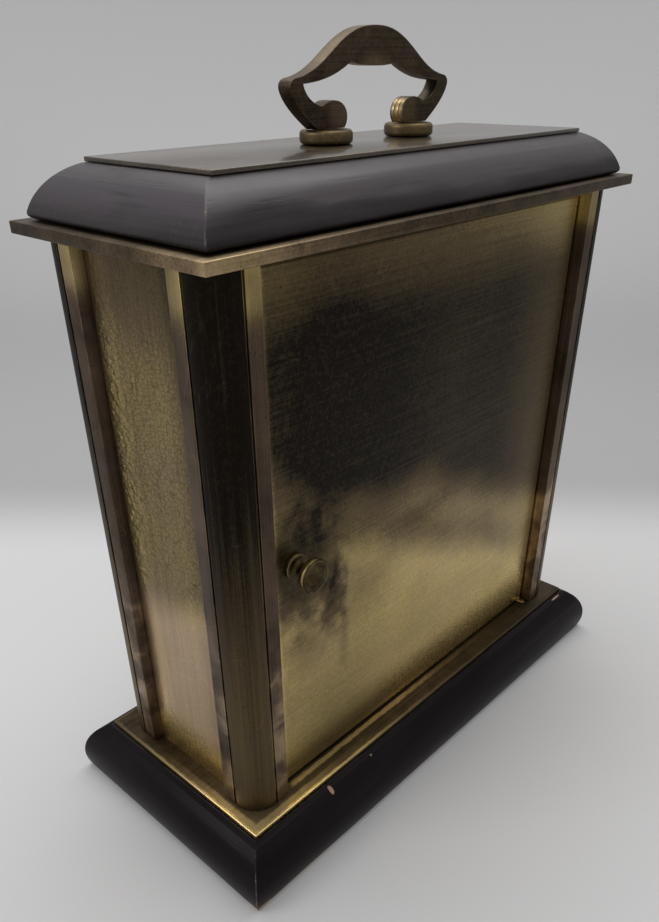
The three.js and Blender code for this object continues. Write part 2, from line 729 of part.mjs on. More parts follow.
function buildBarrel() {
  const drumR = 27;
  const front = -10.6;
  const back = 9;
  const step = 1; // the cover lies one step in from the drum's edge
  const great = plainWheel(BARREL, GREAT_TEETH, GREAT_MODULE, GREAT_PHASE, LAYERS.great);
  const drum = turnedY(BARREL, [
    [0, front],
    [drumR, front],
    [drumR, back - step],
    [drumR - step, back - step],
    [drumR - 1.6 * step, back],
    [0, back],
  ], 28);
  const bore = rodY(BARREL, BARREL_ARBOR_R + PIVOT_HOLE, -20, 20, 12);
  addPiece('going_barrel', 'bright_brass', cut(joined(great, drum), bore));

  // The arbor carries the ratchet wheel and ends in a square for the key
  const squareBack = -22;
  const key = rodY(BARREL, 2.6, squareBack - 5.2, squareBack, 4);
  const shaft = rodY(BARREL, BARREL_ARBOR_R, squareBack - WELD, BACK_PLATE[1] - END_SHAKE, 12);
  addPiece('winding_arbor', 'steel', joined(shaft, key));
}

function buildGoingTrain() {
  const secondTeeth = wheelOutline(SECOND_TEETH, SECOND_MODULE, SECOND_PHASE);
  const secondRoot = rootRadius(SECOND_TEETH, SECOND_MODULE);
  const second = crossedWheel(SECOND, secondTeeth, secondRoot, 4, 5, LAYERS.second);
  const secondLeaves = pinion(
    SECOND, SECOND_LEAVES, GREAT_MODULE, SECOND_PINION_PHASE, LAYERS.secondPinion,
  );
  const secondArbor = arborBetweenPlates(SECOND);
  addPiece('second_wheel', 'bright_brass', joined(second, secondLeaves, secondArbor));

  const centreTeeth = wheelOutline(CENTRE_TEETH, CENTRE_MODULE, CENTRE_PHASE);
  const centreRoot = rootRadius(CENTRE_TEETH, CENTRE_MODULE);
  const centre = crossedWheel(CENTRE, centreTeeth, centreRoot, 4, 5, LAYERS.centre);
  const centreLeaves = pinion(
    CENTRE, CENTRE_LEAVES, SECOND_MODULE, CENTRE_PINION_PHASE, LAYERS.centrePinion,
  );
  const cannonSeat = -20.4;
  const centreArbor = rodY(CENTRE, ARBOR_R, cannonSeat, BACK_PLATE[1] - END_SHAKE, 8);
  addPiece('centre_wheel', 'bright_brass', joined(centre, centreLeaves, centreArbor));

  const thirdTeeth = wheelOutline(THIRD_TEETH, THIRD_MODULE, THIRD_PHASE);
  const thirdRoot = rootRadius(THIRD_TEETH, THIRD_MODULE);
  const third = crossedWheel(THIRD, thirdTeeth, thirdRoot, 3.4, 5, LAYERS.third);
  const thirdLeaves = pinion(
    THIRD, THIRD_LEAVES, CENTRE_MODULE, THIRD_PINION_PHASE, LAYERS.thirdPinion,
  );
  addPiece('third_wheel', 'bright_brass', joined(third, thirdLeaves, arborBetweenPlates(THIRD, 1)));

  const escape = crossedWheel(ESCAPE, escapeOutline(), ESCAPE_R - ESCAPE_DEPTH, 3, 4, LAYERS.escape);
  const escapeLeaves = pinion(
    ESCAPE, ESCAPE_LEAVES, THIRD_MODULE, ESCAPE_PINION_PHASE, LAYERS.escapePinion,
  );
  const escapeArbor = arborBetweenPlates(ESCAPE, 0.8);
  addPiece('escape_wheel', 'bright_brass', joined(escape, escapeLeaves, escapeArbor));
}

// Escape wheel teeth: a slightly undercut leading face and a long sloping back
function escapeOutline() {
  const pitch = TAU / ESCAPE_TEETH;
  const root = ESCAPE_R - ESCAPE_DEPTH;
  return Array.from({ length: ESCAPE_TEETH }, (_, k) => {
    const a = Math.PI / 2 + (k + 0.25) * pitch;
    const back = [root, a - 0.3 * pitch];
    const tip = [[ESCAPE_R, a - 0.06 * pitch], [ESCAPE_R, a + 0.04 * pitch]];
    return [back, ...tip].map(polar);
  }).flat();
}

// Anchor: two curved arms from the pallet arbor to a nib on each side of the escape wheel.
// The nibs stay just outside the teeth over the whole swing.
function buildAnchor() {
  const [px, pz] = PALLET_ARBOR;
  const clear = ESCAPE_R + 0.95;
  const nibAngle = 37.5 * Math.PI / 180;
  const nibX = clear * Math.sin(nibAngle);
  const nibZ = ESCAPE[1] + clear * Math.cos(nibAngle);
  const crown = pz + 3.2;
  const shoulder = [9.5, pz + 2.2];
  const outerNib = [nibX + 3.4, nibZ + 1.2];
  const nibFoot = [nibX + 0.5, nibZ - 0.1];
  const innerNib = [nibX - 0.3, nibZ + 0.6];
  const hollow = [6.2, pz - 1.6];
  const shape = new THREE.Shape();
  shape.moveTo(px, crown);
  shape.quadraticCurveTo(...shoulder, ...outerNib);
  shape.lineTo(...nibFoot);
  shape.lineTo(...innerNib);
  shape.quadraticCurveTo(...hollow, px, pz - 2.2);
  shape.quadraticCurveTo(-hollow[0], hollow[1], -innerNib[0], innerNib[1]);
  shape.lineTo(-nibFoot[0], nibFoot[1]);
  shape.lineTo(-outerNib[0], outerNib[1]);
  shape.quadraticCurveTo(-shoulder[0], shoulder[1], px, crown);
  const anchor = slabY(shape, ...LAYERS.anchor);
  const arbor = rodY(PALLET_ARBOR, PALLET_R, FRONT_PLATE[0] + END_SHAKE, CRUTCH_Y + 1.4, 8);
  addPiece('pallet_anchor', 'steel', joined(anchor, arbor));
}

function buildMotionWork() {
  const cannonFront = -30.3;
  const cannonLeaves = pinion(CENTRE, CANNON_TEETH, CANNON_MODULE, CANNON_PHASE, LAYERS.cannon);
  const cannonPipe = rodY(CENTRE, CANNON_R, cannonFront, LAYERS.cannon[1], 12);
  addPiece('cannon_pinion', 'steel', joined(cannonLeaves, cannonPipe));

  const minute = plainWheel(MINUTE, MINUTE_TEETH, CANNON_MODULE, MINUTE_PHASE, LAYERS.minute);
  const minuteLeaves = pinion(
    MINUTE, MINUTE_LEAVES, HOUR_MODULE, MINUTE_PINION_PHASE, LAYERS.minutePinion,
  );
  const minuteStud = rodY(MINUTE, STUD_R, LAYERS.minute[1] - WELD, INNER_FRONT, 8);
  addPiece('minute_wheel', 'bright_brass', joined(minute, minuteLeaves, minuteStud));

  const hourFront = -29.9;
  const hour = plainWheel(CENTRE, HOUR_TEETH, HOUR_MODULE, HOUR_PHASE, LAYERS.hour);
  const hourPipe = rodY(CENTRE, HOUR_PIPE_R, hourFront, LAYERS.hour[1], 12);
  const bore = rodY(CENTRE, CANNON_R + FIT, hourFront - 2, LAYERS.hour[1] + 2, 12);
  addPiece('hour_wheel', 'bright_brass', cut(joined(hour, hourPipe), bore));
}

// Ratchet on the winding arbor, with the click that holds it and the click's spring
function buildRatchet() {
  const teeth = 20;
  const tip = 11;
  const root = 9.3;
  const pitch = TAU / teeth;
  const outline = Array.from({ length: teeth }, (_, k) => {
    const a = k * pitch;
    return [[root, a], [tip, a + 0.05 * pitch], [root + 0.1, a + 0.95 * pitch]].map(polar);
  }).flat();
  const [front, back] = LAYERS.ratchet;
  const wheel = slabY(polygon(shifted(outline, BARREL)), front, back);
  const bore = rodY(BARREL, BARREL_ARBOR_R + 0.05, front - 1, back + 1, 12);
  addPiece('ratchet_wheel', 'steel', cut(wheel, bore));

  // The click: a finger whose nose lies in the ratchet's teeth, on a stud with a wide head
  const [studX, studZ] = CLICK_STUD;
  const eyeR = 2.7;
  const [nose] = shifted([polar([tip + FIT, 0.62])], BARREL);
  const shape = new THREE.Shape();
  shape.moveTo(...nose);
  shape.lineTo(studX - 0.6, studZ - 2.6);
  shape.absarc(studX, studZ, eyeR, -1.8, 1.7, false);
  shape.quadraticCurveTo(studX - 4, studZ + 2.4, nose[0] + 0.6, nose[1] + 1.6);
  const finger = slabY(shape, front, back, 5);
  const eye = rodY(CLICK_STUD, STUD_R + FIT, front - 1, back + 1, 12);
  addPiece('click', 'steel', cut(finger, eye));
  const inPlate = INNER_FRONT + 0.6;
  const screw = rodY(CLICK_STUD, STUD_R, front - 0.8, inPlate, 10);
  const cap = rodY(CLICK_STUD, 2.2, front - 1.4, front - FIT, 12);
  addPiece('click_screw', 'steel', joined(screw, cap));

  // A curved leaf from its own screw lies over the click's back
  const foot = CLICK_SPRING_FOOT;
  const bend = [foot[0] + 12, foot[1] + 1.5];
  const radius = 12;
  const gauge = 0.6;
  const [leafFrom, leafTo] = [1.02 * Math.PI, 1.43 * Math.PI];
  const leaf = polygon([
    ...arcPoints(bend, radius + gauge, leafFrom, leafTo, 6),
    ...arcPoints(bend, radius, leafTo, leafFrom, 6),
  ]);
  const leafFront = front + WELD;
  const disc = rodY(foot, 2.6, leafFront, back, 12);
  const head = rodY(foot, 1.8, leafFront - 1, leafFront + WELD, 12);
  const shank = rodY(foot, 1, back - WELD, inPlate, 8);
  addPiece('click_spring', 'steel', joined(slabY(leaf, leafFront, back - WELD), disc, head, shank));
}

// ---------------------------------------------------------------- movement frame

function holesAt(places, radius, sides = 8) {
  return places.map((at) => rodY(at, radius, -30, 30, sides));
}

function plateOutline() {
  const corner = 5;
  const half = [
    [PLATES_HALF_X, PLATES_BOTTOM],
    [PLATES_HALF_X, PLATES_TOP - 2 * corner],
    [PLATES_HALF_X - corner, PLATES_TOP - corner],
    [PLATES_HALF_X - 3 * corner, PLATES_TOP],
  ];
  return polygon([...half, ...half.map(([x, z]) => [-x, z]).reverse()]);
}

function buildMovementPlates() {
  const trainPivots = [SECOND, CENTRE, THIRD, ESCAPE];
  const barrelHole = holesAt([BARREL], BARREL_ARBOR_R + PIVOT_HOLE, 12);
  const frontHoles = [
    ...holesAt([...trainPivots, PALLET_ARBOR], ARBOR_R + PIVOT_HOLE),
    ...holesAt([MINUTE, CLICK_STUD, CLICK_SPRING_FOOT], STUD_R + PIVOT_HOLE),
    ...barrelHole,
  ];
  const front = slabY(plateOutline(), ...FRONT_PLATE);
  addPiece('front_movement_plate', 'bright_brass', cut(front, ...frontHoles));
  const backHoles = [
    ...holesAt(trainPivots, ARBOR_R + PIVOT_HOLE),
    ...holesAt([PALLET_ARBOR], 2.2, 12),
    ...barrelHole,
  ];
  const back = slabY(plateOutline(), ...BACK_PLATE);
  addPiece('back_movement_plate', 'bright_brass', cut(back, ...backHoles));
}

function buildPillars() {
  const a = INNER_FRONT + SEAT;
  const b = INNER_BACK - SEAT;
  const endR = 3.4;
  const waistR = 2;
  const bellyR = 2.6;
  const profile = [
    [0, a],
    [endR, a],
    [endR, a + 2.4],
    [waistR, a + 4],
    [bellyR, (a + b) / 2],
    [waistR, b - 4],
    [endR, b - 2.4],
    [endR, b],
    [0, b],
  ];
  const places = [['lower', PILLAR_X, PILLAR_LOW], ['upper', PILLAR_X - 8, PILLAR_HIGH]];
  for (const [level, x, z] of places) {
    for (const [side, s] of SIDES) {
      addPiece(`${level}_pillar_${side}`, 'bright_brass', turnedY([s * x, z], profile, 11));
    }
  }

  // A flanged post under each lower pillar stands on the base plate and cradles the pillar
  const foot = BASE_TOP + SEAT;
  const head = PILLAR_LOW - 0.8;
  const middle = (INNER_FRONT + INNER_BACK) / 2;
  const post = [
    [0, foot],
    [6.5, foot],
    [6.5, foot + 2],
    [3.4, foot + 3],
    [3, head - 6.2],
    [4, head - 3.2],
    [4, head],
    [0, head],
  ];
  for (const [side, s] of SIDES) {
    const x = s * PILLAR_X;
    const cradle = rodY([x, PILLAR_LOW], bellyR + FIT, middle - 8, middle + 8, 16);
    addPiece(`movement_post_${side}`, 'steel', cut(turnedZ([x, middle], post, 12), cradle));
  }
}

// ---------------------------------------------------------------- dial and hands

function buildDial() {
  const front = DIAL_BACK - DIAL_THICK;
  const plate = box(-DIAL_HALF_X, DIAL_HALF_X, front, DIAL_BACK, DIAL_BOTTOM, DIAL_TOP);
  const feetX = 38;
  const feetZ = [62, 168];
  const feetY = [DIAL_BACK - 0.5, FRONT_PLATE[0] - SEAT];
  const feet = SIDES.flatMap(([, s]) => feetZ.map((z) => rodY([s * feetX, z], 2.2, ...feetY, 8)));
  const centreHole = holesAt([CENTRE], HOUR_PIPE_R + 0.5, 14);
  const windingHole = holesAt([BARREL], 5, 18);
  const pierced = cut(joined(plate, ...feet), ...centreHole.concat(windingHole));
  addPiece('dial_plate', 'bright_brass', pierced);

  const ringShape = new THREE.Shape();
  ringShape.absarc(...CENTRE, RING_OUTER, 0, TAU, false);
  const ringHole = new THREE.Path();
  ringHole.absarc(...CENTRE, RING_INNER, 0, TAU, true);
  ringShape.holes.push(ringHole);
  const ring = slabY(ringShape, front - SEAT - RING_THICK, front - SEAT, 20);
  addPiece('chapter_ring', 'silvered', ring);
}

// Spade hand pointing up: a boss, a tapering stem, a spade and a fine tip
function handShape(boss, length, spadeAt, spadeHalf, stem) {
  const shape = new THREE.Shape();
  const foot = CENTRE_Z + spadeAt - spadeHalf;
  const middle = CENTRE_Z + spadeAt;
  const shoulder = middle + spadeHalf;
  const neck = middle + 1.6 * spadeHalf;
  const tip = CENTRE_Z + length;
  shape.absarc(0, CENTRE_Z, boss, Math.PI / 2 + 0.3, Math.PI / 2 - 0.3, false);
  shape.lineTo(stem * 0.7, foot);
  shape.quadraticCurveTo(spadeHalf * 1.1, foot, spadeHalf, middle);
  shape.quadraticCurveTo(spadeHalf * 0.8, shoulder, stem * 0.6, neck);
  shape.lineTo(0, tip);
  shape.lineTo(-stem * 0.6, neck);
  shape.quadraticCurveTo(-spadeHalf * 0.8, shoulder, -spadeHalf, middle);
  shape.quadraticCurveTo(-spadeHalf * 1.1, foot, -stem * 0.7, foot);
  return shape;
}

function turnedOnDial(body, degrees) {
  return body.translate([0, 0, -CENTRE_Z]).rotate([0, degrees, 0]).translate([0, 0, CENTRE_Z]);
}

function buildHands() {
  // Ten past ten
  const hourAngle = 304;
  const minuteAngle = 60;
  const hour = slabY(handShape(5.4, 54, 36, 5.6, 2), ...LAYERS.hourHand, 5);
  const hourBore = rodY(CENTRE, HOUR_PIPE_R + FIT, -32, -27, 16);
  addPiece('hour_hand', 'blued_steel', turnedOnDial(cut(hour, hourBore), hourAngle));
  const minute = slabY(handShape(4.4, 76, 56, 4.2, 1.7), ...LAYERS.minuteHand, 5);
  addPiece('minute_hand', 'blued_steel', turnedOnDial(minute, minuteAngle));
  const nutBack = LAYERS.minuteHand[0] - SEAT;
  const nutProfile = [
    [0, nutBack - 1.3],
    [1.6, nutBack - 1.1],
    [3, nutBack - 0.4],
    [3, nutBack],
    [0, nutBack],
  ];
  addPiece('hand_nut', 'bright_brass', turnedY(CENTRE, nutProfile, 14));
}

// ---------------------------------------------------------------- pendulum

function buildCock() {
  // A foot on the back plate and an overhanging nose, slotted for the suspension spring
  const back = BACK_PLATE[1];
  const pz = PALLET_ARBOR[1];
  const footBack = back + 2.6;
  const foot = box(-9, 9, back + SEAT, footBack, pz + 3, pz + 11.6);
  const nose = box(-4, 4, footBack - WELD, PENDULUM_Y + 3, pz + 3.2, pz + 7.6);
  const slot = box(-2.7, 2.7, PENDULUM_Y - 0.6, PENDULUM_Y + 0.6, pz, pz + 10);
  const screws = SIDES.map(([, s]) => {
    const at = [s * 6.5, pz + 7.4];
    return rodY(at, 1.8, footBack - WELD, footBack + 1.2, 12);
  });
  addPiece('pendulum_cock', 'bright_brass', cut(joined(foot, nose, ...screws), slot));
}

function buildPendulum() {
  const pz = PALLET_ARBOR[1];
  const axis = [0, PENDULUM_Y];
  // The spring hangs through the cock's slot by the chop that rests across it
  const around = (half) => [PENDULUM_Y - half, PENDULUM_Y + half];
  const blockFoot = pz - 13;
  const spring = box(-2, 2, ...around(0.2), pz - 9, pz + 8.4);
  const chop = box(-3.4, 3.4, ...around(1.4), pz + 8, pz + 10.6);
  const block = box(-3, 3, ...around(1.6), blockFoot, pz - 8.6);
  addPiece('suspension_spring', 'steel', joined(spring, chop, block));

  const rodFoot = 31;
  addPiece('pendulum_rod', 'steel', rodZ(axis, ROD_R, rodFoot, blockFoot - SEAT, 10));

  const half = [[0.45, 0.86], [0.85, 0.4]];
  const lensProfile = [
    [0, -1],
    ...half.map(([r, y]) => [r, -y]),
    [1, 0],
    ...half.map(([r, y]) => [r, y]).reverse(),
    [0, 1],
  ].map(([r, y]) => [r * BOB_R, PENDULUM_Y + y * BOB_THICK / 2]);
  const bore = rodZ(axis, ROD_R + FIT, 20, 80, 12);
  addPiece('pendulum_bob', 'bright_brass', cut(turnedY([0, BOB_Z], lensProfile, 20), bore));

  // A knurled nut under the bob raises and lowers it
  const knurls = 12;
  const rim = Array.from({ length: 2 * knurls }, (_, k) => {
    const [x, y] = polar([k % 2 ? 4 : 3.7, k * Math.PI / knurls]);
    return [x, PENDULUM_Y + y];
  });
  const nut = slabZ(polygon(rim), NUT_TOP - 2.6, NUT_TOP);
  addPiece('rating_nut', 'bright_brass', cut(nut, bore));
}

// The crutch sits on the end of the pallet arbor and steers the rod between two prongs
function buildCrutch() {
  const pz = PALLET_ARBOR[1];
  const armY = [CRUTCH_Y, CRUTCH_Y + 1];
  const collar = rodY(PALLET_ARBOR, 2.6, CRUTCH_Y, CRUTCH_Y + 1.6, 14);
  const arm = box(-1.2, 1.2, ...armY, pz - 27, pz);
  const bridge = box(-2.8, 2.8, ...armY, pz - 28, pz - 25);
  const prongs = SIDES.map(([, s]) => {
    const [x0, x1] = [s * 1.5, s * 2.8].sort(ascending);
    return box(x0, x1, CRUTCH_Y, PENDULUM_Y + 2.2, pz - 28, pz - 26);
  });
  const bore = rodY(PALLET_ARBOR, PALLET_R + SEAT, CRUTCH_Y - 1, CRUTCH_Y + 3, 8);
  addPiece('crutch', 'steel', cut(joined(collar, arm, bridge, ...prongs), bore));
}

// ---------------------------------------------------------------- assembly

buildPlinth();
buildPlates();
buildPosts();
buildSidePanels();
buildCap();
buildHandle();
buildRearDoor();
buildFrontDoor();
buildLatches();
buildPivots();
buildDial();
buildHands();
buildMovementPlates();
buildPillars();
buildBarrel();
buildGoingTrain();
buildAnchor();
buildMotionWork();
buildRatchet();
buildCock();
buildPendulum();
buildCrutch();

export default clock;
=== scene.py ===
"""Bracket clock: brass case on an ebonised wood plinth, wood cap, carrying handle, movement and pendulum.

Laid out as an add-on: the property groups hold sizes and colours, each operator makes one group of
pieces, and main() runs them in order. Lengths are metres, +Z is up, and the dial faces -Y.
"""

import json
import math

import bpy
from bpy.props import FloatProperty, FloatVectorProperty, IntProperty, PointerProperty
from mathutils import Matrix, Vector
from mathutils.geometry import interpolate_bezier


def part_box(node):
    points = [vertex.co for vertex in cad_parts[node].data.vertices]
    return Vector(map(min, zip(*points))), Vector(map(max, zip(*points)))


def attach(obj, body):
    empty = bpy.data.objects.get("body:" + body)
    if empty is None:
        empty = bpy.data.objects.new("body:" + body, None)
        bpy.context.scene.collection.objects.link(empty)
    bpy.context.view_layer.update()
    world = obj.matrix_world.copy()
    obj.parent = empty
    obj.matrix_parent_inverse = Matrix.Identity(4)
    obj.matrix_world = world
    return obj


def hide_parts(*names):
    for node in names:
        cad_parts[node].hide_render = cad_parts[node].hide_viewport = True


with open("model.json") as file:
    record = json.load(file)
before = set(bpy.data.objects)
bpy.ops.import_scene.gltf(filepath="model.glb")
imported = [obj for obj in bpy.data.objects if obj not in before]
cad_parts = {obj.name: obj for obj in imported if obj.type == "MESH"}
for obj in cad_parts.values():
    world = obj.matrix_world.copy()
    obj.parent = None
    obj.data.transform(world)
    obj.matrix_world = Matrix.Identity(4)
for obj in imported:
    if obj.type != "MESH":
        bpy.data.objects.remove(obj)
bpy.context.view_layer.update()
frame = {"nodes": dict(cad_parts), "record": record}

bl_info = {
    "name": "Bracket Clock",
    "version": (1, 0, 0),
    "blender": (4, 5, 0),
    "location": "3D View > Sidebar > Clock",
    "description": "Models and finishes a bracket clock round its fixed frame",
    "category": "Add Mesh",
}

MM = 0.001
BODIES = frame["record"]["behaviour"]["bodies"]
BODY_OF = {node: body for body, nodes in BODIES.items() for node in nodes}
ALONG_Y = "along_y"
AGAINST_Y = "against_y"
ALONG_X = "along_x"
TURNS = {
    ALONG_Y: (-math.pi / 2, 0, 0),
    AGAINST_Y: (math.pi / 2, 0, 0),
    ALONG_X: (0, math.pi / 2, 0),
}


# ---------------------------------------------------------------- properties


def length(name, description, millimetres):
    return FloatProperty(
        name=name, description=description, default=millimetres * MM, min=0, unit="LENGTH"
    )


def colour(name, description, value):
    return FloatVectorProperty(
        name=name, description=description, default=value, min=0, max=1, size=3, subtype="COLOR"
    )


def share(name, description, value):
    return FloatProperty(
        name=name, description=description, default=value, min=0, max=1, subtype="FACTOR"
    )


class ClockShape(bpy.types.PropertyGroup):
    """Sizes of the details that the finish needs"""

    soft_edge: length("Soft edge", "Rounding of the brass pieces' edges", 0.22)
    wood_edge: length("Wood edge", "Rounding of the wood's arrises", 0.4)
    nose_radius: length("Nose radius", "Radius of the plinth's rolled nose", 19.1)
    cap_radius: length("Cap radius", "Radius of the cap's ovolo", 20.4)
    column_radius: length("Column radius", "Radius of the quarter-round corner columns", 10.9)
    strip_width: length("Strip width", "Flat strip beside each column", 6.6)
    groove: length("Groove", "Width of the groove beside each column", 0.9)
    door_border: length("Door border", "Width of the door's sloping border", 2.2)
    hammer_depth: length("Hammer depth", "Height of the pebbled grain on the side panels", 0.45)
    hammer_size: length("Hammer size", "Width of one pebble on the side panels", 2.3)
    numeral_height: length("Numeral height", "Height of the hour numerals", 15)
    turned_sides: IntProperty(
        name="Turned sides", description="Faces round a turned piece", default=64, min=12, max=256
    )


class ClockFinish(bpy.types.PropertyGroup):
    """Colours of the finishes, and how worn they are"""

    wood_dark: colour("Ebonised wood", "Stained wood in its deepest parts", (0.0065, 0.0042, 0.0048))
    wood_faded: colour("Faded stain", "Stain worn thin and grey", (0.052, 0.043, 0.048))
    # Colour of the painted highlights on the cap
    wood_painted_sheen: colour("Rubbed stain", "Pale sheen where the cap is polished by hands", (0.26, 0.245, 0.255))
    wood_bare: colour("Bare wood", "Raw wood in a chip", (0.38, 0.25, 0.18))
    wood_tan: colour("Tan wood", "Old wood at a worn foot", (0.30, 0.19, 0.08))
    brass_clean: colour("Clean brass", "Brass that hands and cloth keep bright", (0.82, 0.62, 0.25))
    brass_khaki: colour("Dull brass", "Brass with a thin even tarnish", (0.42, 0.325, 0.145))
    brass_brown: colour("Brown brass", "Brass under a brown patina", (0.14, 0.103, 0.051))
    brass_black: colour("Black tarnish", "The darkest patina", (0.010, 0.0078, 0.0052))
    brass_train: colour("Train brass", "Clean brass of the wheels and plates", (0.78, 0.58, 0.27))
    silver: colour("Silvering", "Silvered chapter ring", (0.74, 0.73, 0.68))
    wax: colour("Wax", "Black wax of the numerals", (0.012, 0.012, 0.014))
    blue: colour("Blued steel", "Heat-blued hands", (0.03, 0.055, 0.19))
    steel: colour("Steel", "Arbors, screws and springs", (0.42, 0.43, 0.45))
    wear: share("Wear", "How far the edges are rubbed bright", 0.7)


class ClockStage(bpy.types.PropertyGroup):
    """Floor, light and camera"""

    floor: colour("Floor", "Pale floor and sweep", (0.62, 0.615, 0.615))
    sky: colour("Surrounding light", "Light from all round", (0.95, 0.96, 0.98))
    sky_strength: FloatProperty(name="Surrounding strength", description="Even light", default=0.62, min=0)
    top_power: FloatProperty(name="Top light", description="Large light overhead", default=8, unit="POWER")
    side_power: FloatProperty(name="Side light", description="Window at the side", default=5, unit="POWER")
    lens: FloatProperty(name="Lens", description="Focal length", default=30.96, unit="CAMERA")
    camera_place: FloatVectorProperty(
        name="Camera place", description="Where the photograph was taken from",
        default=(0.2355, 0.2007, 0.2673), size=3, subtype="TRANSLATION", unit="LENGTH",
    )
    camera_heading: FloatProperty(
        name="Heading",
        description="Direction of view from +X",
        default=math.radians(-136.86),
        subtype="ANGLE",
    )
    camera_dip: FloatProperty(
        name="Dip", description="Downward angle of view", default=math.radians(32.78), subtype="ANGLE"
    )
    camera_roll: FloatProperty(
        name="Roll", description="Lean of the camera", default=math.radians(-0.55), subtype="ANGLE"
    )


def shape():
    return bpy.context.scene.clock_shape


def finish():
    return bpy.context.scene.clock_finish


# ---------------------------------------------------------------- modelling


def clear_selection():
    if bpy.context.mode != "OBJECT":
        bpy.ops.object.mode_set(mode="OBJECT")
    bpy.ops.object.select_all(action="DESELECT")


def select_only(*pieces):
    clear_selection()
    for piece in pieces:
        piece.select_set(True)
    bpy.context.view_layer.objects.active = pieces[0]


def edit(piece):
    select_only(piece)
    bpy.ops.object.mode_set(mode="EDIT")
    bpy.ops.mesh.select_all(action="SELECT")


def leave_edit():
    bpy.ops.mesh.select_all(action="SELECT")
    bpy.ops.mesh.normals_make_consistent(inside=False)
    bpy.ops.object.mode_set(mode="OBJECT")


def named(name):
    piece = bpy.context.active_object
    piece.name = name
    piece.data.name = name
    return piece


def resize(x, y, z=1):
    bpy.ops.transform.resize(value=(x, y, z), center_override=(0, 0, 0))


def extrude(x, y, z):
    bpy.ops.mesh.extrude_region_move(TRANSFORM_OT_translate={"value": (x, y, z)})


def stacked(name, rings, sides=0):
    """A flat start is extruded and resized ring by ring. A ring is (half width, half depth, height).

    The start is a rectangle, or a circle where sides are given."""
    clear_selection()
    if sides:
        bpy.ops.mesh.primitive_circle_add(vertices=sides, radius=1, fill_type="NGON")
    else:
        bpy.ops.mesh.primitive_plane_add(size=2)
    piece = named(name)
    edit(piece)
    x, y, z = rings[0]
    resize(x, y)
    bpy.ops.transform.translate(value=(0, 0, z))
    for next_x, next_y, next_z in rings[1:]:
        extrude(0, 0, next_z - z)
        resize(next_x / x, next_y / y)
        x, y, z = next_x, next_y, next_z
    leave_edit()
    return piece


def turned(name, profile, sides=0):
    """A lathe piece: its profile is a list of (radius, height)"""
    least = 0.02 * MM
    rings = [(max(r, least), max(r, least), z) for r, z in profile]
    return stacked(name, rings, sides or shape().turned_sides)


def outlined(name, points, low, high):
    """A chain of points is closed to a face and extruded from low to high"""
    clear_selection()
    bpy.ops.mesh.primitive_plane_add(size=2)
    piece = named(name)
    edit(piece)
    bpy.ops.mesh.merge(type="CENTER")
    x, y = points[0]
    bpy.ops.transform.translate(value=(x, y, low))
    for next_x, next_y in points[1:]:
        extrude(next_x - x, next_y - y, 0)
        x, y = next_x, next_y
    bpy.ops.mesh.select_all(action="SELECT")
    bpy.ops.mesh.edge_face_add()
    extrude(0, 0, high - low)
    leave_edit()
    return piece


def placed(piece, at=(0, 0, 0), turn=None):
    """Turns a piece, moves it and settles both in its mesh"""
    select_only(piece)
    piece.rotation_euler = TURNS[turn] if turn else (0, 0, 0)
    piece.location = at
    bpy.ops.object.transform_apply(location=True, rotation=True, scale=True)
    return piece


def apply_all(piece):
    select_only(piece)
    for modifier in list(piece.modifiers):
        bpy.ops.object.modifier_apply(modifier=modifier.name)


def smooth(piece, degrees=30):
    select_only(piece)
    bpy.ops.object.shade_smooth_by_angle(angle=math.radians(degrees))
    return piece


def softened(piece, width=None, above=25, segments=3, smooth_below=30):
    """Rounds the edges that are sharper than an angle"""
    bevel = piece.modifiers.new("Soft edge", "BEVEL")
    bevel.width = shape().soft_edge if width is None else width
    bevel.segments = segments
    bevel.limit_method = "ANGLE"
    bevel.angle_limit = math.radians(above)
    bevel.harden_normals = False
    apply_all(piece)
    return smooth(piece, smooth_below)


def cut_away(piece, *tools):
    for tool in tools:
        cut = piece.modifiers.new("Cut", "BOOLEAN")
        cut.operation = "DIFFERENCE"
        cut.solver = "EXACT"
        cut.object = tool
        apply_all(piece)
        bpy.data.objects.remove(tool)
    return piece


def one_piece(name, *pieces):
    select_only(*pieces)
    bpy.ops.object.join()
    return named(name)


def copied(piece, name, matrix):
    """A copy with a mesh of its own, turned or mirrored by a matrix, facing outwards"""
    copy = piece.copy()
    copy.data = piece.data.copy()
    bpy.context.scene.collection.objects.link(copy)
    copy.name = name
    copy.data.name = name
    copy.data.transform(matrix)
    if matrix.determinant() < 0:
        edit(copy)
        leave_edit()
    return copy


def refined(node, name, soft=0.08 * MM, smooth_below=46):
    """A merged copy of a node's mesh with flats joined and edges rounded"""
    mesh = frame["nodes"][node].data.copy()
    mesh.materials.clear()
    piece = bpy.data.objects.new(name, mesh)
    bpy.context.scene.collection.objects.link(piece)
    mesh.name = name
    edit(piece)
    bpy.ops.mesh.remove_doubles(threshold=0.001 * MM)
    bpy.ops.mesh.dissolve_limited(angle_limit=math.radians(0.5))
    bpy.ops.object.mode_set(mode="OBJECT")
    return softened(piece, soft, above=50, segments=2, smooth_below=smooth_below)


def stands_for(piece, finish_name, *nodes):
    """The piece takes the place of CAD nodes: it rides on their body, and they are hidden"""
    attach(piece, BODY_OF[nodes[0]])
    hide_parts(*nodes)
    return dressed(piece, finish_name)


def dressed(piece, finish_name):
    piece.data.materials.clear()
    piece.data.materials.append(material(finish_name))
    return piece


def arc(centre, radius, start, end, steps):
    """Points on an arc, from one angle to another"""
    angles = [math.radians(start + (end - start) * i / steps) for i in range(steps + 1)]
    return [(centre[0] + radius * math.cos(a), centre[1] + radius * math.sin(a)) for a in angles]


def node_size(node):
    """Low corner, high corner and middle of a node"""
    low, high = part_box(node)
    return low, high, (low + high) / 2


def moulded(name, half_x, half_y, profile):
    """A moulding mitred round a rectangle. The profile is a list of (step out, height)"""
    return stacked(name, [(half_x + out, half_y + out, z) for out, z in profile])


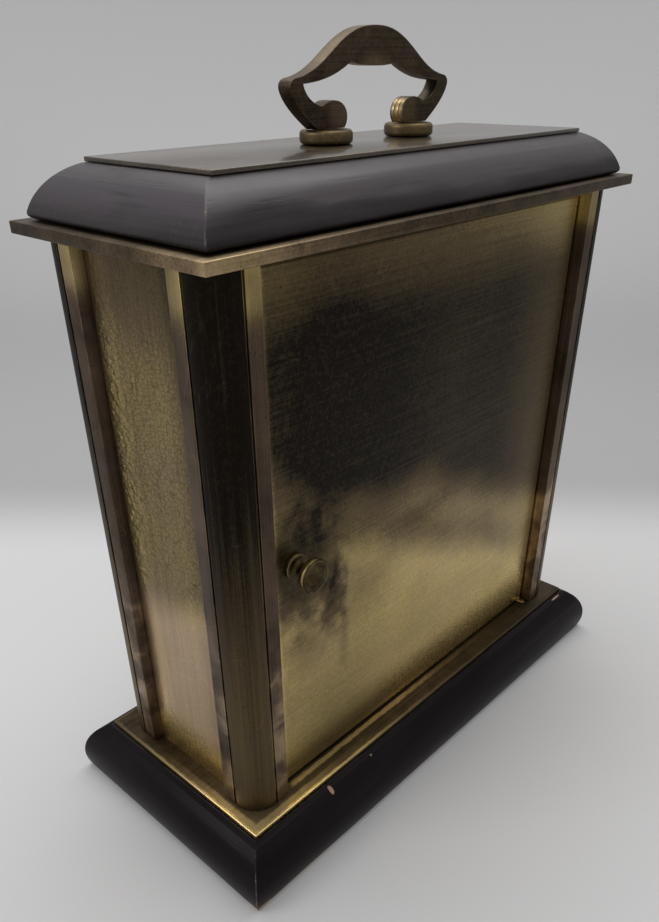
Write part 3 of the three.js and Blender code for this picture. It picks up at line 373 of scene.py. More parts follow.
def sheet(name, node):
    """A flat plate with rounded edges"""
    low, high, _ = node_size(node)
    half = (high - low) / 2
    piece = moulded(name, half.x, half.y, [(0, low.z), (0, high.z)])
    return softened(piece, 0.35 * MM)


# ---------------------------------------------------------------- wiring of materials


def put(tree, kind, inputs=None, **settings):
    """Adds a shader node, sets it up, and links or sets its inputs"""
    node = tree.nodes.new("ShaderNode" + kind)
    for key, value in settings.items():
        setattr(node, key, value)
    for key, value in (inputs or {}).items():
        socket = node.inputs[key]
        if isinstance(value, bpy.types.NodeSocket):
            tree.links.new(value, socket)
        else:
            socket.default_value = value
    return node


def maths(tree, operation, first, second=0.0, clamp=False):
    node = put(tree, "Math", {0: first, 1: second}, operation=operation, use_clamp=clamp)
    return node.outputs[0]


def times(tree, *values):
    product = values[0]
    for value in values[1:]:
        product = maths(tree, "MULTIPLY", product, value)
    return product


def plus(tree, *values):
    total = values[0]
    for value in values[1:]:
        total = maths(tree, "ADD", total, value)
    return total


def rise(tree, value, low, high, to_low=0.0, to_high=1.0):
    """Smooth step: to_low below low, to_high above high"""
    node = put(
        tree, "MapRange",
        {"Value": value, "From Min": low, "From Max": high, "To Min": to_low, "To Max": to_high},
        interpolation_type="SMOOTHSTEP",
    )
    return node.outputs["Result"]


def blended(tree, mask, first, second):
    """Mixes two colours by a mask"""
    node = put(tree, "Mix", {0: mask, 6: opaque(first), 7: opaque(second)}, data_type="RGBA")
    return node.outputs[2]


def opaque(value):
    if isinstance(value, bpy.types.NodeSocket) or len(value) == 4:
        return value
    return (*value, 1)


def stretched(tree, vector, factors):
    return put(tree, "Mapping", {"Vector": vector, "Scale": factors}, vector_type="POINT").outputs[0]


def noise(tree, vector, scale, detail=3.0, distortion=0.0):
    node = put(
        tree, "TexNoise",
        {"Vector": vector, "Scale": scale, "Detail": detail, "Distortion": distortion},
    )
    return node.outputs["Fac"]


def parts_of(tree, vector):
    return put(tree, "SeparateXYZ", {0: vector}).outputs


GROUPS = {}


def group(name, inputs, outputs, build):
    """A shader node group, built once. Inputs and outputs are {name: socket type}"""
    if name in GROUPS:
        return GROUPS[name]
    tree = bpy.data.node_groups.new(name, "ShaderNodeTree")
    for key, kind in inputs.items():
        tree.interface.new_socket(name=key, in_out="INPUT", socket_type="NodeSocket" + kind)
    for key, kind in outputs.items():
        tree.interface.new_socket(name=key, in_out="OUTPUT", socket_type="NodeSocket" + kind)
    entry = tree.nodes.new("NodeGroupInput")
    leave = tree.nodes.new("NodeGroupOutput")
    for key, value in build(tree, entry.outputs).items():
        tree.links.new(value, leave.inputs[key])
    GROUPS[name] = tree
    return tree


def use(tree, made, inputs):
    node = put(tree, "Group", node_tree=made)
    for key, value in inputs.items():
        socket = node.inputs[key]
        if isinstance(value, bpy.types.NodeSocket):
            tree.links.new(value, socket)
        else:
            socket.default_value = value
    return node.outputs


def patches_group():
    """Cloudy patches with soft borders"""

    def build(tree, given):
        cloud = noise(tree, given["Vector"], given["Scale"], 5, 0.5)
        return {"Mask": rise(tree, cloud, given["Low"], given["High"])}

    inputs = {"Vector": "Vector", "Scale": "Float", "Low": "Float", "High": "Float"}
    return group("Patches", inputs, {"Mask": "Float"}, build)


def patches(tree, vector, scale, low=0.42, high=0.62):
    return use(tree, patches_group(), {"Vector": vector, "Scale": scale, "Low": low, "High": high})["Mask"]


def spot_group():
    """A soft-edged spot round a place, with a ragged border"""

    def build(tree, given):
        away = put(tree, "VectorMath", {0: given["Vector"], 1: given["Centre"]}, operation="SUBTRACT")
        scaled = put(tree, "VectorMath", {0: away.outputs[0], 1: given["Reach"]}, operation="DIVIDE")
        distance = put(tree, "VectorMath", {0: scaled.outputs[0]}, operation="LENGTH").outputs["Value"]
        torn = maths(tree, "SUBTRACT", noise(tree, given["Vector"], given["Grain"], 3), 0.4)
        pushed = plus(tree, distance, times(tree, torn, given["Ragged"]))
        inner = maths(tree, "SUBTRACT", 1.0, given["Softness"])
        return {"Mask": rise(tree, pushed, inner, 1.0, 1.0, 0.0)}

    inputs = {
        "Vector": "Vector", "Centre": "Vector", "Reach": "Vector",
        "Softness": "Float", "Ragged": "Float", "Grain": "Float",
    }
    return group("Spot", inputs, {"Mask": "Float"}, build)


def spot(tree, vector, centre, reach, softness=0.6, ragged=0.3, grain=160.0):
    """Centre and reach are in millimetres"""
    values = {
        "Vector": vector, "Centre": [v * MM for v in centre], "Reach": [v * MM for v in reach],
        "Softness": softness, "Ragged": ragged, "Grain": grain,
    }
    return use(tree, spot_group(), values)["Mask"]


def edge_group():
    """Edges that stand proud, broken up by noise"""

    def build(tree, given):
        rounded = put(tree, "Bevel", {"Radius": given["Radius"]}, samples=6).outputs[0]
        flat = put(tree, "NewGeometry").outputs["Normal"]
        same = put(tree, "VectorMath", {0: rounded, 1: flat}, operation="DOT_PRODUCT").outputs["Value"]
        proud = rise(tree, same, 0.995, 0.90)
        broken = rise(tree, noise(tree, given["Vector"], given["Grain"], 4), 0.3, 0.62)
        return {"Mask": times(tree, proud, broken, given["Amount"])}

    inputs = {"Vector": "Vector", "Radius": "Float", "Grain": "Float", "Amount": "Float"}
    return group("Worn edges", inputs, {"Mask": "Float"}, build)


def edges(tree, vector, radius, amount=1.0, grain=120.0):
    values = {"Vector": vector, "Radius": radius * MM, "Grain": grain, "Amount": amount}
    return use(tree, edge_group(), values)["Mask"]


def brushed_group():
    """Fine parallel lines of a brushed surface"""

    def build(tree, given):
        scaled = put(tree, "VectorMath", {0: given["Vector"], 1: given["Run"]}, operation="MULTIPLY")
        fine = noise(tree, scaled.outputs[0], 1.0, 2)
        return {"Line": rise(tree, fine, 0.25, 0.75)}

    return group("Brushed", {"Vector": "Vector", "Run": "Vector"}, {"Line": "Float"}, build)


def brushed(tree, vector, run):
    """Run is the number of lines in a metre along each axis"""
    return use(tree, brushed_group(), {"Vector": vector, "Run": run})["Line"]


def scratch_group():
    """Sparse hairline scratches in two directions"""

    def build(tree, given):
        lines = []
        for turn, run in ((0.3, 1.0), (-0.8, 1.3)):
            turned_vector = put(
                tree, "Mapping", {"Vector": given["Vector"], "Rotation": (turn, turn, turn)}
            ).outputs[0]
            long_cells = stretched(tree, turned_vector, (run, 0.06, 0.08))
            cells = put(
                tree, "TexVoronoi", {"Vector": long_cells, "Scale": given["Scale"]},
                feature="DISTANCE_TO_EDGE",
            ).outputs["Distance"]
            thin = rise(tree, cells, 0.0, 0.012, 1.0, 0.0)
            gate = rise(tree, noise(tree, given["Vector"], 45.0 * run, 2), 0.52, 0.62)
            lines.append(times(tree, thin, gate))
        both = maths(tree, "MAXIMUM", lines[0], lines[1])
        return {"Mask": times(tree, both, given["Amount"])}

    inputs = {"Vector": "Vector", "Scale": "Float", "Amount": "Float"}
    return group("Scratches", inputs, {"Mask": "Float"}, build)


def scratches(tree, vector, scale=260.0, amount=1.0):
    return use(tree, scratch_group(), {"Vector": vector, "Scale": scale, "Amount": amount})["Mask"]


def speck_group():
    """Small round specks, sparse"""

    def build(tree, given):
        cells = put(
            tree, "TexVoronoi", {"Vector": given["Vector"], "Scale": given["Scale"]}
        ).outputs["Distance"]
        gate = rise(tree, noise(tree, given["Vector"], 300.0, 1), 0.55, 0.6)
        return {"Mask": times(tree, rise(tree, cells, 0.08, 0.2, 1.0, 0.0), gate)}

    return group("Specks", {"Vector": "Vector", "Scale": "Float"}, {"Mask": "Float"}, build)


def specks(tree, vector, scale):
    return use(tree, speck_group(), {"Vector": vector, "Scale": scale})["Mask"]


OLIVE_TINT = (1.0, 1.0, 0.94, 1)
PLUM_TINT = (1.02, 0.96, 1.35, 1)
LACQUER_ROUGHNESS = 0.16


def tinted(tree, colour, tint):
    """A colour times a tint"""
    values = {0: 1.0, 6: colour, 7: tint}
    return put(tree, "Mix", values, data_type="RGBA", blend_type="MULTIPLY").outputs[2]


def patina_group():
    """Colour and roughness of brass from its tone: 0 is black tarnish, 1 is clean metal"""

    def build(tree, given):
        look = finish()
        drift = noise(tree, given["Vector"], 34.0, 4, 0.4)
        fine = noise(tree, given["Vector"], 900.0, 3)
        mottled = times(tree, maths(tree, "SUBTRACT", fine, 0.5), given["Mottle"])
        tone = maths(tree, "ADD", given["Tone"], mottled, clamp=True)
        stops = [
            (0.0, look.brass_black),
            (0.34, look.brass_brown),
            (0.68, look.brass_khaki),
            (1.0, look.brass_clean),
        ]
        ramp = tree.nodes.new("ShaderNodeValToRGB")
        tree.links.new(tone, ramp.inputs[0])
        bands = ramp.color_ramp.elements
        while len(bands) < len(stops):
            bands.new(0.5)
        for band, (place, value) in zip(bands, stops):
            band.position = place
            band.color = (*value, 1)
        olive = tinted(tree, ramp.outputs[0], OLIVE_TINT)
        plum = tinted(tree, ramp.outputs[0], PLUM_TINT)
        leaning = maths(tree, "ADD", rise(tree, drift, 0.35, 0.65, 0.0, 0.3), given["Plum"], clamp=True)
        hue = blended(tree, leaning, olive, plum)
        rough = rise(tree, tone, 0.0, 1.0, 0.5, 0.27)
        rough = plus(tree, rough, times(tree, maths(tree, "SUBTRACT", fine, 0.5), 0.12))
        return {"Color": hue, "Roughness": rough, "Metallic": rise(tree, tone, 0.0, 0.2, 0.98, 1.0)}

    inputs = {"Vector": "Vector", "Tone": "Float", "Mottle": "Float", "Plum": "Float"}
    outputs = {"Color": "Color", "Roughness": "Float", "Metallic": "Float"}
    return group("Patina", inputs, outputs, build)


def new_material(name):
    made = bpy.data.materials.new(name)
    made.use_nodes = True
    tree = made.node_tree
    tree.nodes.clear()
    leave = put(tree, "OutputMaterial")
    surface = put(tree, "BsdfPrincipled")
    tree.links.new(surface.outputs[0], leave.inputs["Surface"])
    place = put(tree, "TexCoord").outputs["Object"]
    return made, tree, surface, place


def bumped(tree, surface, height, depth):
    """Feeds a height to the shader's normal. Depth is in millimetres"""
    bump = put(tree, "Bump", {"Height": height, "Strength": 1.0, "Distance": depth * MM})
    tree.links.new(bump.outputs[0], surface.inputs["Normal"])


def old_brass(name, tone, run, plum=0.0, mottle=0.25, wear=0.6, depth=0.006, grain=None, lacquer=0.0):
    """Aged brass: tone(tree, place) gives how clean each spot is, and in places painted light and shade"""
    made, tree, surface, place = new_material(name)
    lines = brushed(tree, place, run)
    marks = scratches(tree, place, 240.0, 0.2)
    edge = edges(tree, place, 0.45, wear * finish().wear)
    level = plus(tree, tone(tree, place), times(tree, maths(tree, "SUBTRACT", lines, 0.5), 0.10))
    level = plus(tree, level, times(tree, marks, 0.35), edge)
    pits = specks(tree, place, 700.0)
    level = maths(tree, "SUBTRACT", level, times(tree, pits, 0.3), clamp=True)
    lean = plum(tree, place) if callable(plum) else plum
    values = {"Vector": place, "Tone": level, "Mottle": mottle, "Plum": lean}
    patina = use(tree, patina_group(), values)
    tree.links.new(patina["Color"], surface.inputs["Base Color"])
    tree.links.new(patina["Roughness"], surface.inputs["Roughness"])
    tree.links.new(patina["Metallic"], surface.inputs["Metallic"])
    height = maths(tree, "SUBTRACT", lines, times(tree, marks, 1.5))
    height = maths(tree, "SUBTRACT", height, times(tree, pits, 2.0))
    if grain:
        height = plus(tree, height, grain(tree, place))
    bumped(tree, surface, height, depth)
    surface.inputs["Coat Weight"].default_value = lacquer
    surface.inputs["Coat Roughness"].default_value = LACQUER_ROUGHNESS
    return made


# ---------------------------------------------------------------- the finishes


def centred(tree, vector, scale, spread, detail=4):
    """Noise about zero"""
    return times(tree, maths(tree, "SUBTRACT", noise(tree, vector, scale, detail, 0.5), 0.5), spread)


def summed(tree, vector, blots):
    """Adds up spots. Each is (centre, reach, softness, raggedness, depth)"""
    marks = [times(tree, spot(tree, vector, *blot[:4]), blot[4]) for blot in blots]
    return plus(tree, *marks)


# Stains on the rear door, on the knob's side, and the knob's painted shadow: (centre in mm, reach in mm,
# softness, ragged, depth)
DOOR_STAINS_AND_KNOB_SHADOW = [
    ((54, 36, 178), (24, 30, 62), 1.0, 0.4, -0.10),
    ((64, 36, 150), (26, 30, 26), 1.0, 0.5, -0.16),
    # Painted shadow: the dark patch that the knob casts on the door
    ((77, 36, 120), (34, 30, 32), 0.8, 0.5, -0.56),
    ((44, 36, 100), (34, 30, 26), 1.0, 0.6, -0.16),
    ((59, 36, 102), (11, 30, 26), 0.8, 0.7, -0.34),
    ((53, 36, 82), (5, 30, 26), 0.9, 0.8, -0.16),
    ((74, 36, 88), (18, 30, 20), 1.0, 0.7, -0.18),
    ((2, 36, 118), (26, 30, 9), 1.0, 0.8, -0.10),
]


def door_tone(tree, place):
    """Light below a slanting line and dark above it: a painted reflection of the pale floor and the darker
    surroundings. Stained on the knob's side, with the knob's painted shadow, a painted shadow at the sill, a
    painted reflection lightening the foot and painted highlights along the side edges
    """
    part = parts_of(tree, place)
    wander = centred(tree, place, 30.0, 12 * MM)
    # Painted reflection: below this slanting line the door reflects the pale floor and stays light; near and
    # above it, it is painted dark as if reflecting darker surroundings
    reflection_line = plus(tree, part["Z"], times(tree, part["X"], -0.47), -112.5 * MM, wander)
    knob_side = rise(tree, part["X"], -10 * MM, 55 * MM)
    far = rise(tree, part["X"], 20 * MM, -84 * MM)
    low = rise(tree, reflection_line, -24 * MM, -5 * MM)
    band = rise(tree, reflection_line, -4 * MM, 5 * MM)
    early = rise(tree, part["X"], 0.0, 36 * MM, 0.0, 12 * MM)
    high = rise(tree, plus(tree, reflection_line, early), 6 * MM, 30 * MM)
    below = rise(tree, part["X"], -40 * MM, -80 * MM, -0.38, -0.2)
    level = plus(tree, 0.80, times(tree, low, below), times(tree, band, 0.04), times(tree, high, -0.40))
    calm = maths(tree, "SUBTRACT", 1.0, times(tree, high, 0.7))
    cloud = times(tree, centred(tree, place, 22.0, 0.26, 6), calm)
    # Painted reflection: the foot of the door is lightened
    foot = times(tree, rise(tree, part["Z"], 62 * MM, 36 * MM), rise(tree, part["X"], 60 * MM, 0.0, 0.1, 1.0))
    # Painted shadow: the dark gap between the door's foot and the base
    sill_shadow = times(tree, rise(tree, part["Z"], 40 * MM, 32 * MM), rise(tree, part["X"], 5 * MM, 35 * MM))
    top = rise(tree, part["Z"], 193 * MM, 223 * MM)
    # Painted highlight along both side edges of the door
    rim = rise(tree, maths(tree, "ABSOLUTE", part["X"]), 84.5 * MM, 87 * MM)
    hinge_side = rise(tree, part["X"], -58 * MM, -82 * MM)
    flecks = times(tree, spot(tree, place, (57, 36, 106), (9, 30, 7), 0.5), specks(tree, place, 420.0))
    shifts = (
        times(tree, knob_side, -0.10),
        times(tree, foot, 0.3),
        times(tree, sill_shadow, -0.25),
        times(tree, rim, 0.2),
        times(tree, flecks, 0.5),
        times(tree, top, plus(tree, 0.27, times(tree, far, 0.24))),
        times(tree, hinge_side, 0.03),
        times(tree, rise(tree, part["X"], 64 * MM, 82 * MM), rise(tree, part["Z"], 158 * MM, 176 * MM), 0.08),
    )
    stained = summed(tree, place, DOOR_STAINS_AND_KNOB_SHADOW)
    return maths(tree, "ADD", plus(tree, level, cloud, stained, *shifts), 0.0, clamp=True)


def crinkle(tree, place):
    """Distance from the cracks between the hammered cells, which are wider than they are tall"""
    part = parts_of(tree, place)
    wobble = noise(tree, place, 300.0, 2)
    across = plus(tree, part["Y"], times(tree, wobble, 1.6 * MM))
    flat = put(tree, "CombineXYZ", {1: across, 2: times(tree, part["Z"], 1.5)}).outputs[0]
    values = {"Vector": flat, "Scale": 1 / shape().hammer_size}
    return put(tree, "TexVoronoi", values, feature="DISTANCE_TO_EDGE").outputs["Distance"]


def pebbled(tree, place):
    """How strongly the hammering shows at each height"""
    height = parts_of(tree, place)["Z"]
    from_foot = rise(tree, height, 96 * MM, 118 * MM, 0.08, 1.0)
    to_cornice = rise(tree, height, 184 * MM, 222 * MM, 1.0, 0.3)
    return times(tree, from_foot, to_cornice)


def pebbles(tree, place):
    """Height of the hammered cells, in units of the brushing's depth"""
    return times(tree, rise(tree, crinkle(tree, place), 0.0, 0.3, 0.0, 16.0), pebbled(tree, place))


def panel_tone(tree, place):
    """Dull brass, brown under the cornice, lighter below a slanting line as a painted reflection of the pale
    floor and lighter towards the foot, with painted shade beside the posts and in the cracks of the hammering
    """
    part = parts_of(tree, place)
    slanted = plus(tree, part["Z"], times(tree, part["Y"], -0.4), centred(tree, place, 60.0, 8 * MM))
    top = rise(tree, part["Z"], 186 * MM, 220 * MM)
    # Painted reflection: lighter below a slanting line, where the panel reflects the pale floor
    low = rise(tree, slanted, 112 * MM, 94 * MM)
    foot = rise(tree, part["Z"], 62 * MM, 36 * MM)
    side = rise(tree, part["Y"], 10 * MM, 20 * MM)
    # Painted shade: darker close to the posts
    shade_beside_post = rise(tree, maths(tree, "ABSOLUTE", part["Y"]), 18 * MM, 21.5 * MM)
    shifts = (
        times(tree, top, -0.20), times(tree, low, 0.24), times(tree, foot, 0.2), times(tree, side, -0.12),
        # Painted shade beside the posts, and painted light lightening the panel towards its front post
        times(tree, shade_beside_post, -0.08), times(tree, rise(tree, part["Y"], -8 * MM, -16 * MM), 0.12),
        # Painted shade in the cracks between the hammered cells, with a slight painted light on their tops
        times(tree, rise(tree, crinkle(tree, place), 0.0, 0.1, -0.12, 0.02), pebbled(tree, place)),
    )
    return plus(tree, 0.44, centred(tree, place, 30.0, 0.12), *shifts)


def panel_plum(tree, place):
    """Pinkish in the clean part above the foot"""
    height = parts_of(tree, place)["Z"]
    return times(tree, rise(tree, height, 112 * MM, 92 * MM, 0.0, 0.75), rise(tree, height, 34 * MM, 48 * MM))


def on_columns(tree, part):
    """1 on the quarter-round columns, 0 on the flat strips beside them"""
    out_x = rise(tree, maths(tree, "ABSOLUTE", part["X"]), 96.2 * MM, 96.8 * MM)
    out_y = rise(tree, maths(tree, "ABSOLUTE", part["Y"]), 29.2 * MM, 29.8 * MM)
    return times(tree, out_x, out_y)


def post_tone(tree, place):
    """Columns nearly black above and olive below; strips with a painted highlight at their upper ends and
    worn gilt patches low down
    """
    part = parts_of(tree, place)
    column = on_columns(tree, part)
    strip = maths(tree, "SUBTRACT", 1.0, column)
    low = rise(tree, part["Z"], 186 * MM, 45 * MM)
    cloud = centred(tree, place, 60.0, 0.35, 5)
    streaks = brushed(tree, place, (420.0, 420.0, 5.0))
    streaked = times(tree, maths(tree, "SUBTRACT", streaks, 0.5), 0.09)
    on_column = plus(tree, -0.03, times(tree, low, 0.30), streaked)
    # Painted highlight: the strips' upper ends are lightened to gilt
    tip_highlight = rise(tree, part["Z"], 205 * MM, 216 * MM)
    worn = times(tree, rise(tree, part["Z"], 118 * MM, 84 * MM), patches(tree, place, 90.0, 0.28, 0.68))
    on_strip = plus(tree, 0.19, cloud, times(tree, tip_highlight, 0.38), times(tree, worn, 0.38))
    return plus(tree, times(tree, column, on_column), times(tree, strip, on_strip))


def post_plum(tree, place):
    """The strips are pinkish, except at their upper ends, where a highlight is painted"""
    part = parts_of(tree, place)
    below_tip = rise(tree, part["Z"], 212 * MM, 204 * MM, 0.0, 0.75)
    on_strips = maths(tree, "SUBTRACT", 1.0, times(tree, on_columns(tree, part), 0.85))
    return times(tree, below_tip, on_strips)


# Half the width and half the depth of the plates, in mm
PLATE_HALF = (112.5, 45.9)


def near_corner(tree, place, reach):
    """1 at the rear right corner of the plates, falling away along both edges"""
    return spot(tree, place, (*PLATE_HALF, 0), (reach, reach * 0.9, 400), 1.0, 0.25, 60.0)


def base_tone(tree, place):
    """Rubbed to gold round the rear right corner and in a thin line along its edges, brown within, with a
    painted reflection: a gold line along the foot of the door
    """
    part = parts_of(tree, place)
    from_x = maths(tree, "SUBTRACT", PLATE_HALF[0] * MM, maths(tree, "ABSOLUTE", part["X"]))
    from_y = maths(tree, "SUBTRACT", PLATE_HALF[1] * MM, maths(tree, "ABSOLUTE", part["Y"]))
    ragged = centred(tree, place, 220.0, 1.6 * MM)
    inwards = plus(tree, maths(tree, "MINIMUM", from_x, from_y), ragged)
    border = rise(tree, inwards, 4.6 * MM, 3.2 * MM)
    rim = rise(tree, inwards, 1.5 * MM, 0.7 * MM)
    corner = near_corner(tree, place, 84)
    far = near_corner(tree, place, 190)
    rearward = plus(tree, part["Y"], ragged)
    # Painted reflection: a thin gold line on the plate along the foot of the door
    door_reflection_line = times(
        tree,
        rise(tree, rearward, 36.2 * MM, 37.0 * MM),
        rise(tree, rearward, 39.4 * MM, 38.2 * MM),
        rise(tree, part["X"], -60 * MM, 40 * MM),
        rise(tree, part["X"], 88 * MM, 84 * MM),
    )
    gold = (times(tree, border, corner, 0.52), times(tree, rim, far, 0.5), times(tree, door_reflection_line, 0.5))
    patch = times(tree, near_corner(tree, place, 60), 0.16)
    return plus(tree, 0.12, patch, centred(tree, place, 120.0, 0.2, 5), *gold)


def cornice_tone(tree, place):
    """Brown, with gold worn through at the rear right corner"""
    corner = near_corner(tree, place, 52)
    wide = near_corner(tree, place, 120)
    part = parts_of(tree, place)
    rear = times(tree, rise(tree, part["Y"], 40 * MM, 45 * MM), rise(tree, part["X"], 10 * MM, 80 * MM))
    cloud = times(tree, maths(tree, "SUBTRACT", noise(tree, place, 90.0, 5, 0.4), 0.5), 0.4)
    return plus(tree, 0.16, cloud, times(tree, corner, 0.5), times(tree, wide, 0.2), times(tree, rear, 0.12))


def top_tone(tree, place):
    cloud = times(tree, maths(tree, "SUBTRACT", noise(tree, place, 24.0, 5, 0.4), 0.5), 0.3)
    return plus(tree, 0.16, cloud)


def bail_tone(tree, place):
    """Dark bronze with a painted sheen on the back of the arch, paler at the belly, and painted highlights on
    the scrolls
    """
    part = parts_of(tree, place)
    side = maths(tree, "ABSOLUTE", part["X"])
    cloud = centred(tree, place, 90.0, 0.25)
    back = rise(tree, maths(tree, "ABSOLUTE", part["Y"]), 2.5 * MM, 1.8 * MM)
    arch = rise(tree, part["Z"], 262 * MM, 268 * MM)
    belly = spot(tree, place, (0, 0, 267.5), (12, 9, 5), 1.0, 0.3)
    scroll = times(tree, rise(tree, part["Z"], 258.5 * MM, 256 * MM), rise(tree, side, 24 * MM, 20 * MM))
    # Painted sheen on the back of the arch and painted highlights on the scrolls; the belly is paler
    lightened = (times(tree, back, arch, 0.16), times(tree, belly, 0.26), times(tree, scroll, 0.14))
    return plus(tree, 0.13, cloud, times(tree, scroll, back, 0.36), *lightened)


def knob_tone(tree, place):
    """Painted highlights on the rims of collar and head; the neck and the dish stay dark"""
    part = parts_of(tree, place)
    outward = maths(tree, "ABSOLUTE", part["Y"])
    collar = rise(tree, outward, 38.0 * MM, 37.2 * MM)
    head = times(tree, rise(tree, outward, 42.8 * MM, 43.6 * MM), rise(tree, outward, 46.4 * MM, 45.9 * MM))
    # Painted highlights: bright rims on the collar and the head
    rim_highlights = (times(tree, collar, 0.5), times(tree, head, 0.62))
    return plus(tree, 0.14, centred(tree, place, 300.0, 0.25), *rim_highlights)


def even_tone(level, spread=0.2, scale=120.0):
    def tone(tree, place):
        drift = maths(tree, "SUBTRACT", noise(tree, place, scale, 4), 0.5)
        return plus(tree, level, times(tree, drift, spread))

    return tone


# Worn places on the plinth: (place in mm, reach in mm)
LEDGE_CHIPS = [((75, 49.6, 23.3), (1.1, 2.3, 3)), ((-105.4, 47.6, 23.3), (4.2, 0.5, 3))]
LEDGE_FLECKS = [((77.7, 50.4, 20.5), (0.6, 0.6, 0.6)), ((50, 49, 23), (0.5, 0.5, 0.8))]
# Painted highlights on the cap: paler places where its ovolo catches the light
CAP_SHEEN = [
    ((102, 49, 239.5), (22, 14, 6.5), 0.9),
    ((45, 49, 236), (62, 14, 2.6), 0.4),
    ((116, 4, 238), (14, 40, 4), 0.4),
]
# Bare edges along the plinth's foot
FOOT_WEAR = [
    ((121.5, 55, 0.4), (8, 6, 2.8)),
    ((96, 55.4, 0), (26, 2.5, 1.3)),
    ((25, 55.4, 0), (40, 2.5, 0.9)),
]
# Paler colour of the wood's arrises: partly worn stain and partly a painted highlight
ARRIS_WEAR_AND_HIGHLIGHT = (0.14, 0.11, 0.125)


def ebonised(name, faded, shine, chips=(), tan=(), sheen=()):
    """Stained and polished wood with pores along the grain and worn arrises whose paler colour is partly a
    painted highlight; given sheen spots, it also gets painted light towards the top and painted highlight
    spots
    """
    look = finish()
    made, tree, surface, place = new_material(name)
    part = parts_of(tree, place)
    beyond_x = maths(tree, "SUBTRACT", maths(tree, "ABSOLUTE", part["X"]), PLATE_HALF[0] * MM)
    beyond_y = maths(tree, "SUBTRACT", maths(tree, "ABSOLUTE", part["Y"]), PLATE_HALF[1] * MM)
    on_end = rise(tree, maths(tree, "SUBTRACT", beyond_x, beyond_y), -0.05 * MM, 0.05 * MM)
    long_grain = noise(tree, stretched(tree, place, (28, 700, 700)), 1.0, 4, 0.3)
    end_grain = noise(tree, stretched(tree, place, (700, 28, 700)), 1.0, 4, 0.3)
    on_length = maths(tree, "SUBTRACT", 1.0, on_end)
    grain = plus(tree, times(tree, long_grain, on_length), times(tree, end_grain, on_end))
    cloud = rise(tree, noise(tree, stretched(tree, place, (12, 12, 70)), 1.0, 5, 0.6), 0.3, 0.7, 0.3, 1.7)
    light = plus(tree, times(tree, cloud, faded), times(tree, maths(tree, "SUBTRACT", grain, 0.5), faded))
    # Painted light: where sheen spots are given, the fade grows towards the top, where the ovolo faces up
    painted_top_light = rise(tree, part["Z"], 226 * MM, 242 * MM, 0.1, 2.0) if sheen else 1.0
    fade_and_sheen = times(tree, light, painted_top_light)
    fade_and_sheen = maths(tree, "ADD", fade_and_sheen, 0.0, clamp=True)
    stain = blended(tree, fade_and_sheen, look.wood_dark, look.wood_faded)
    # Painted highlights: each sheen spot blends the stain towards a pale colour
    for centre, reach, strength in sheen:
        lightened = times(tree, spot(tree, place, centre, reach, 1.0, 0.3, 60.0), strength)
        stain = blended(tree, lightened, stain, look.wood_painted_sheen)
    # Worn arrises, paler partly by wear and partly as a painted highlight
    arris = edges(tree, place, 0.8, look.wear, 60.0)
    stain = blended(tree, arris, stain, ARRIS_WEAR_AND_HIGHLIGHT)
    from_mitre = maths(tree, "ABSOLUTE", maths(tree, "SUBTRACT", beyond_x, beyond_y))
    joint = rise(tree, from_mitre, 0.5 * MM, 0.1 * MM)
    mitre = times(tree, joint, rise(tree, noise(tree, place, 260.0, 4), 0.56, 0.66))
    stain = blended(tree, times(tree, mitre, 0.6), stain, look.wood_tan)
    for centre, reach in tan:
        stain = blended(tree, spot(tree, place, centre, reach, 0.25, 0.5, 400.0), stain, look.wood_tan)
    for centre, reach in chips:
        stain = blended(tree, spot(tree, place, centre, reach, 0.15, 0.25, 500.0), stain, look.wood_bare)
    tree.links.new(stain, surface.inputs["Base Color"])
    smear = noise(tree, place, 55.0, 4, 0.5)
    rough = plus(tree, 0.20, times(tree, smear, 0.16), times(tree, grain, 0.08), times(tree, arris, -0.05))
    tree.links.new(rough, surface.inputs["Roughness"])
    surface.inputs["Specular IOR Level"].default_value = shine
    pores = rise(tree, grain, 0.36, 0.44)
    height = plus(tree, pores, times(tree, smear, 0.5), times(tree, scratches(tree, place, 200.0), -0.8))
    bumped(tree, surface, height, 0.02)
    return made


def simple_metal(name, value, run, rough=0.3, depth=0.006, spread=0.25):
    """Clean metal with brushed lines, smears and small stains"""
    made, tree, surface, place = new_material(name)
    lines = brushed(tree, place, run)
    smear = noise(tree, place, 130.0, 4, 0.4)
    stain = rise(tree, noise(tree, place, 60.0, 5, 0.5), 0.5, 0.75)
    darker = tuple(v * (1 - spread) for v in value)
    dulled = maths(tree, "ADD", times(tree, stain, 0.7), times(tree, lines, 0.3), clamp=True)
    colour_out = blended(tree, dulled, value, darker)
    tree.links.new(colour_out, surface.inputs["Base Color"])
    rough_out = plus(tree, rough, times(tree, smear, 0.14), times(tree, lines, 0.06), -0.07)
    tree.links.new(rough_out, surface.inputs["Roughness"])
    surface.inputs["Metallic"].default_value = 1
    bumped(tree, surface, plus(tree, lines, times(tree, scratches(tree, place, 400.0), -1.0)), depth)
    return made


RING_GRAIN = (0.5, 0.49, 0.45)
WAX_DUST = (0.05, 0.045, 0.04)


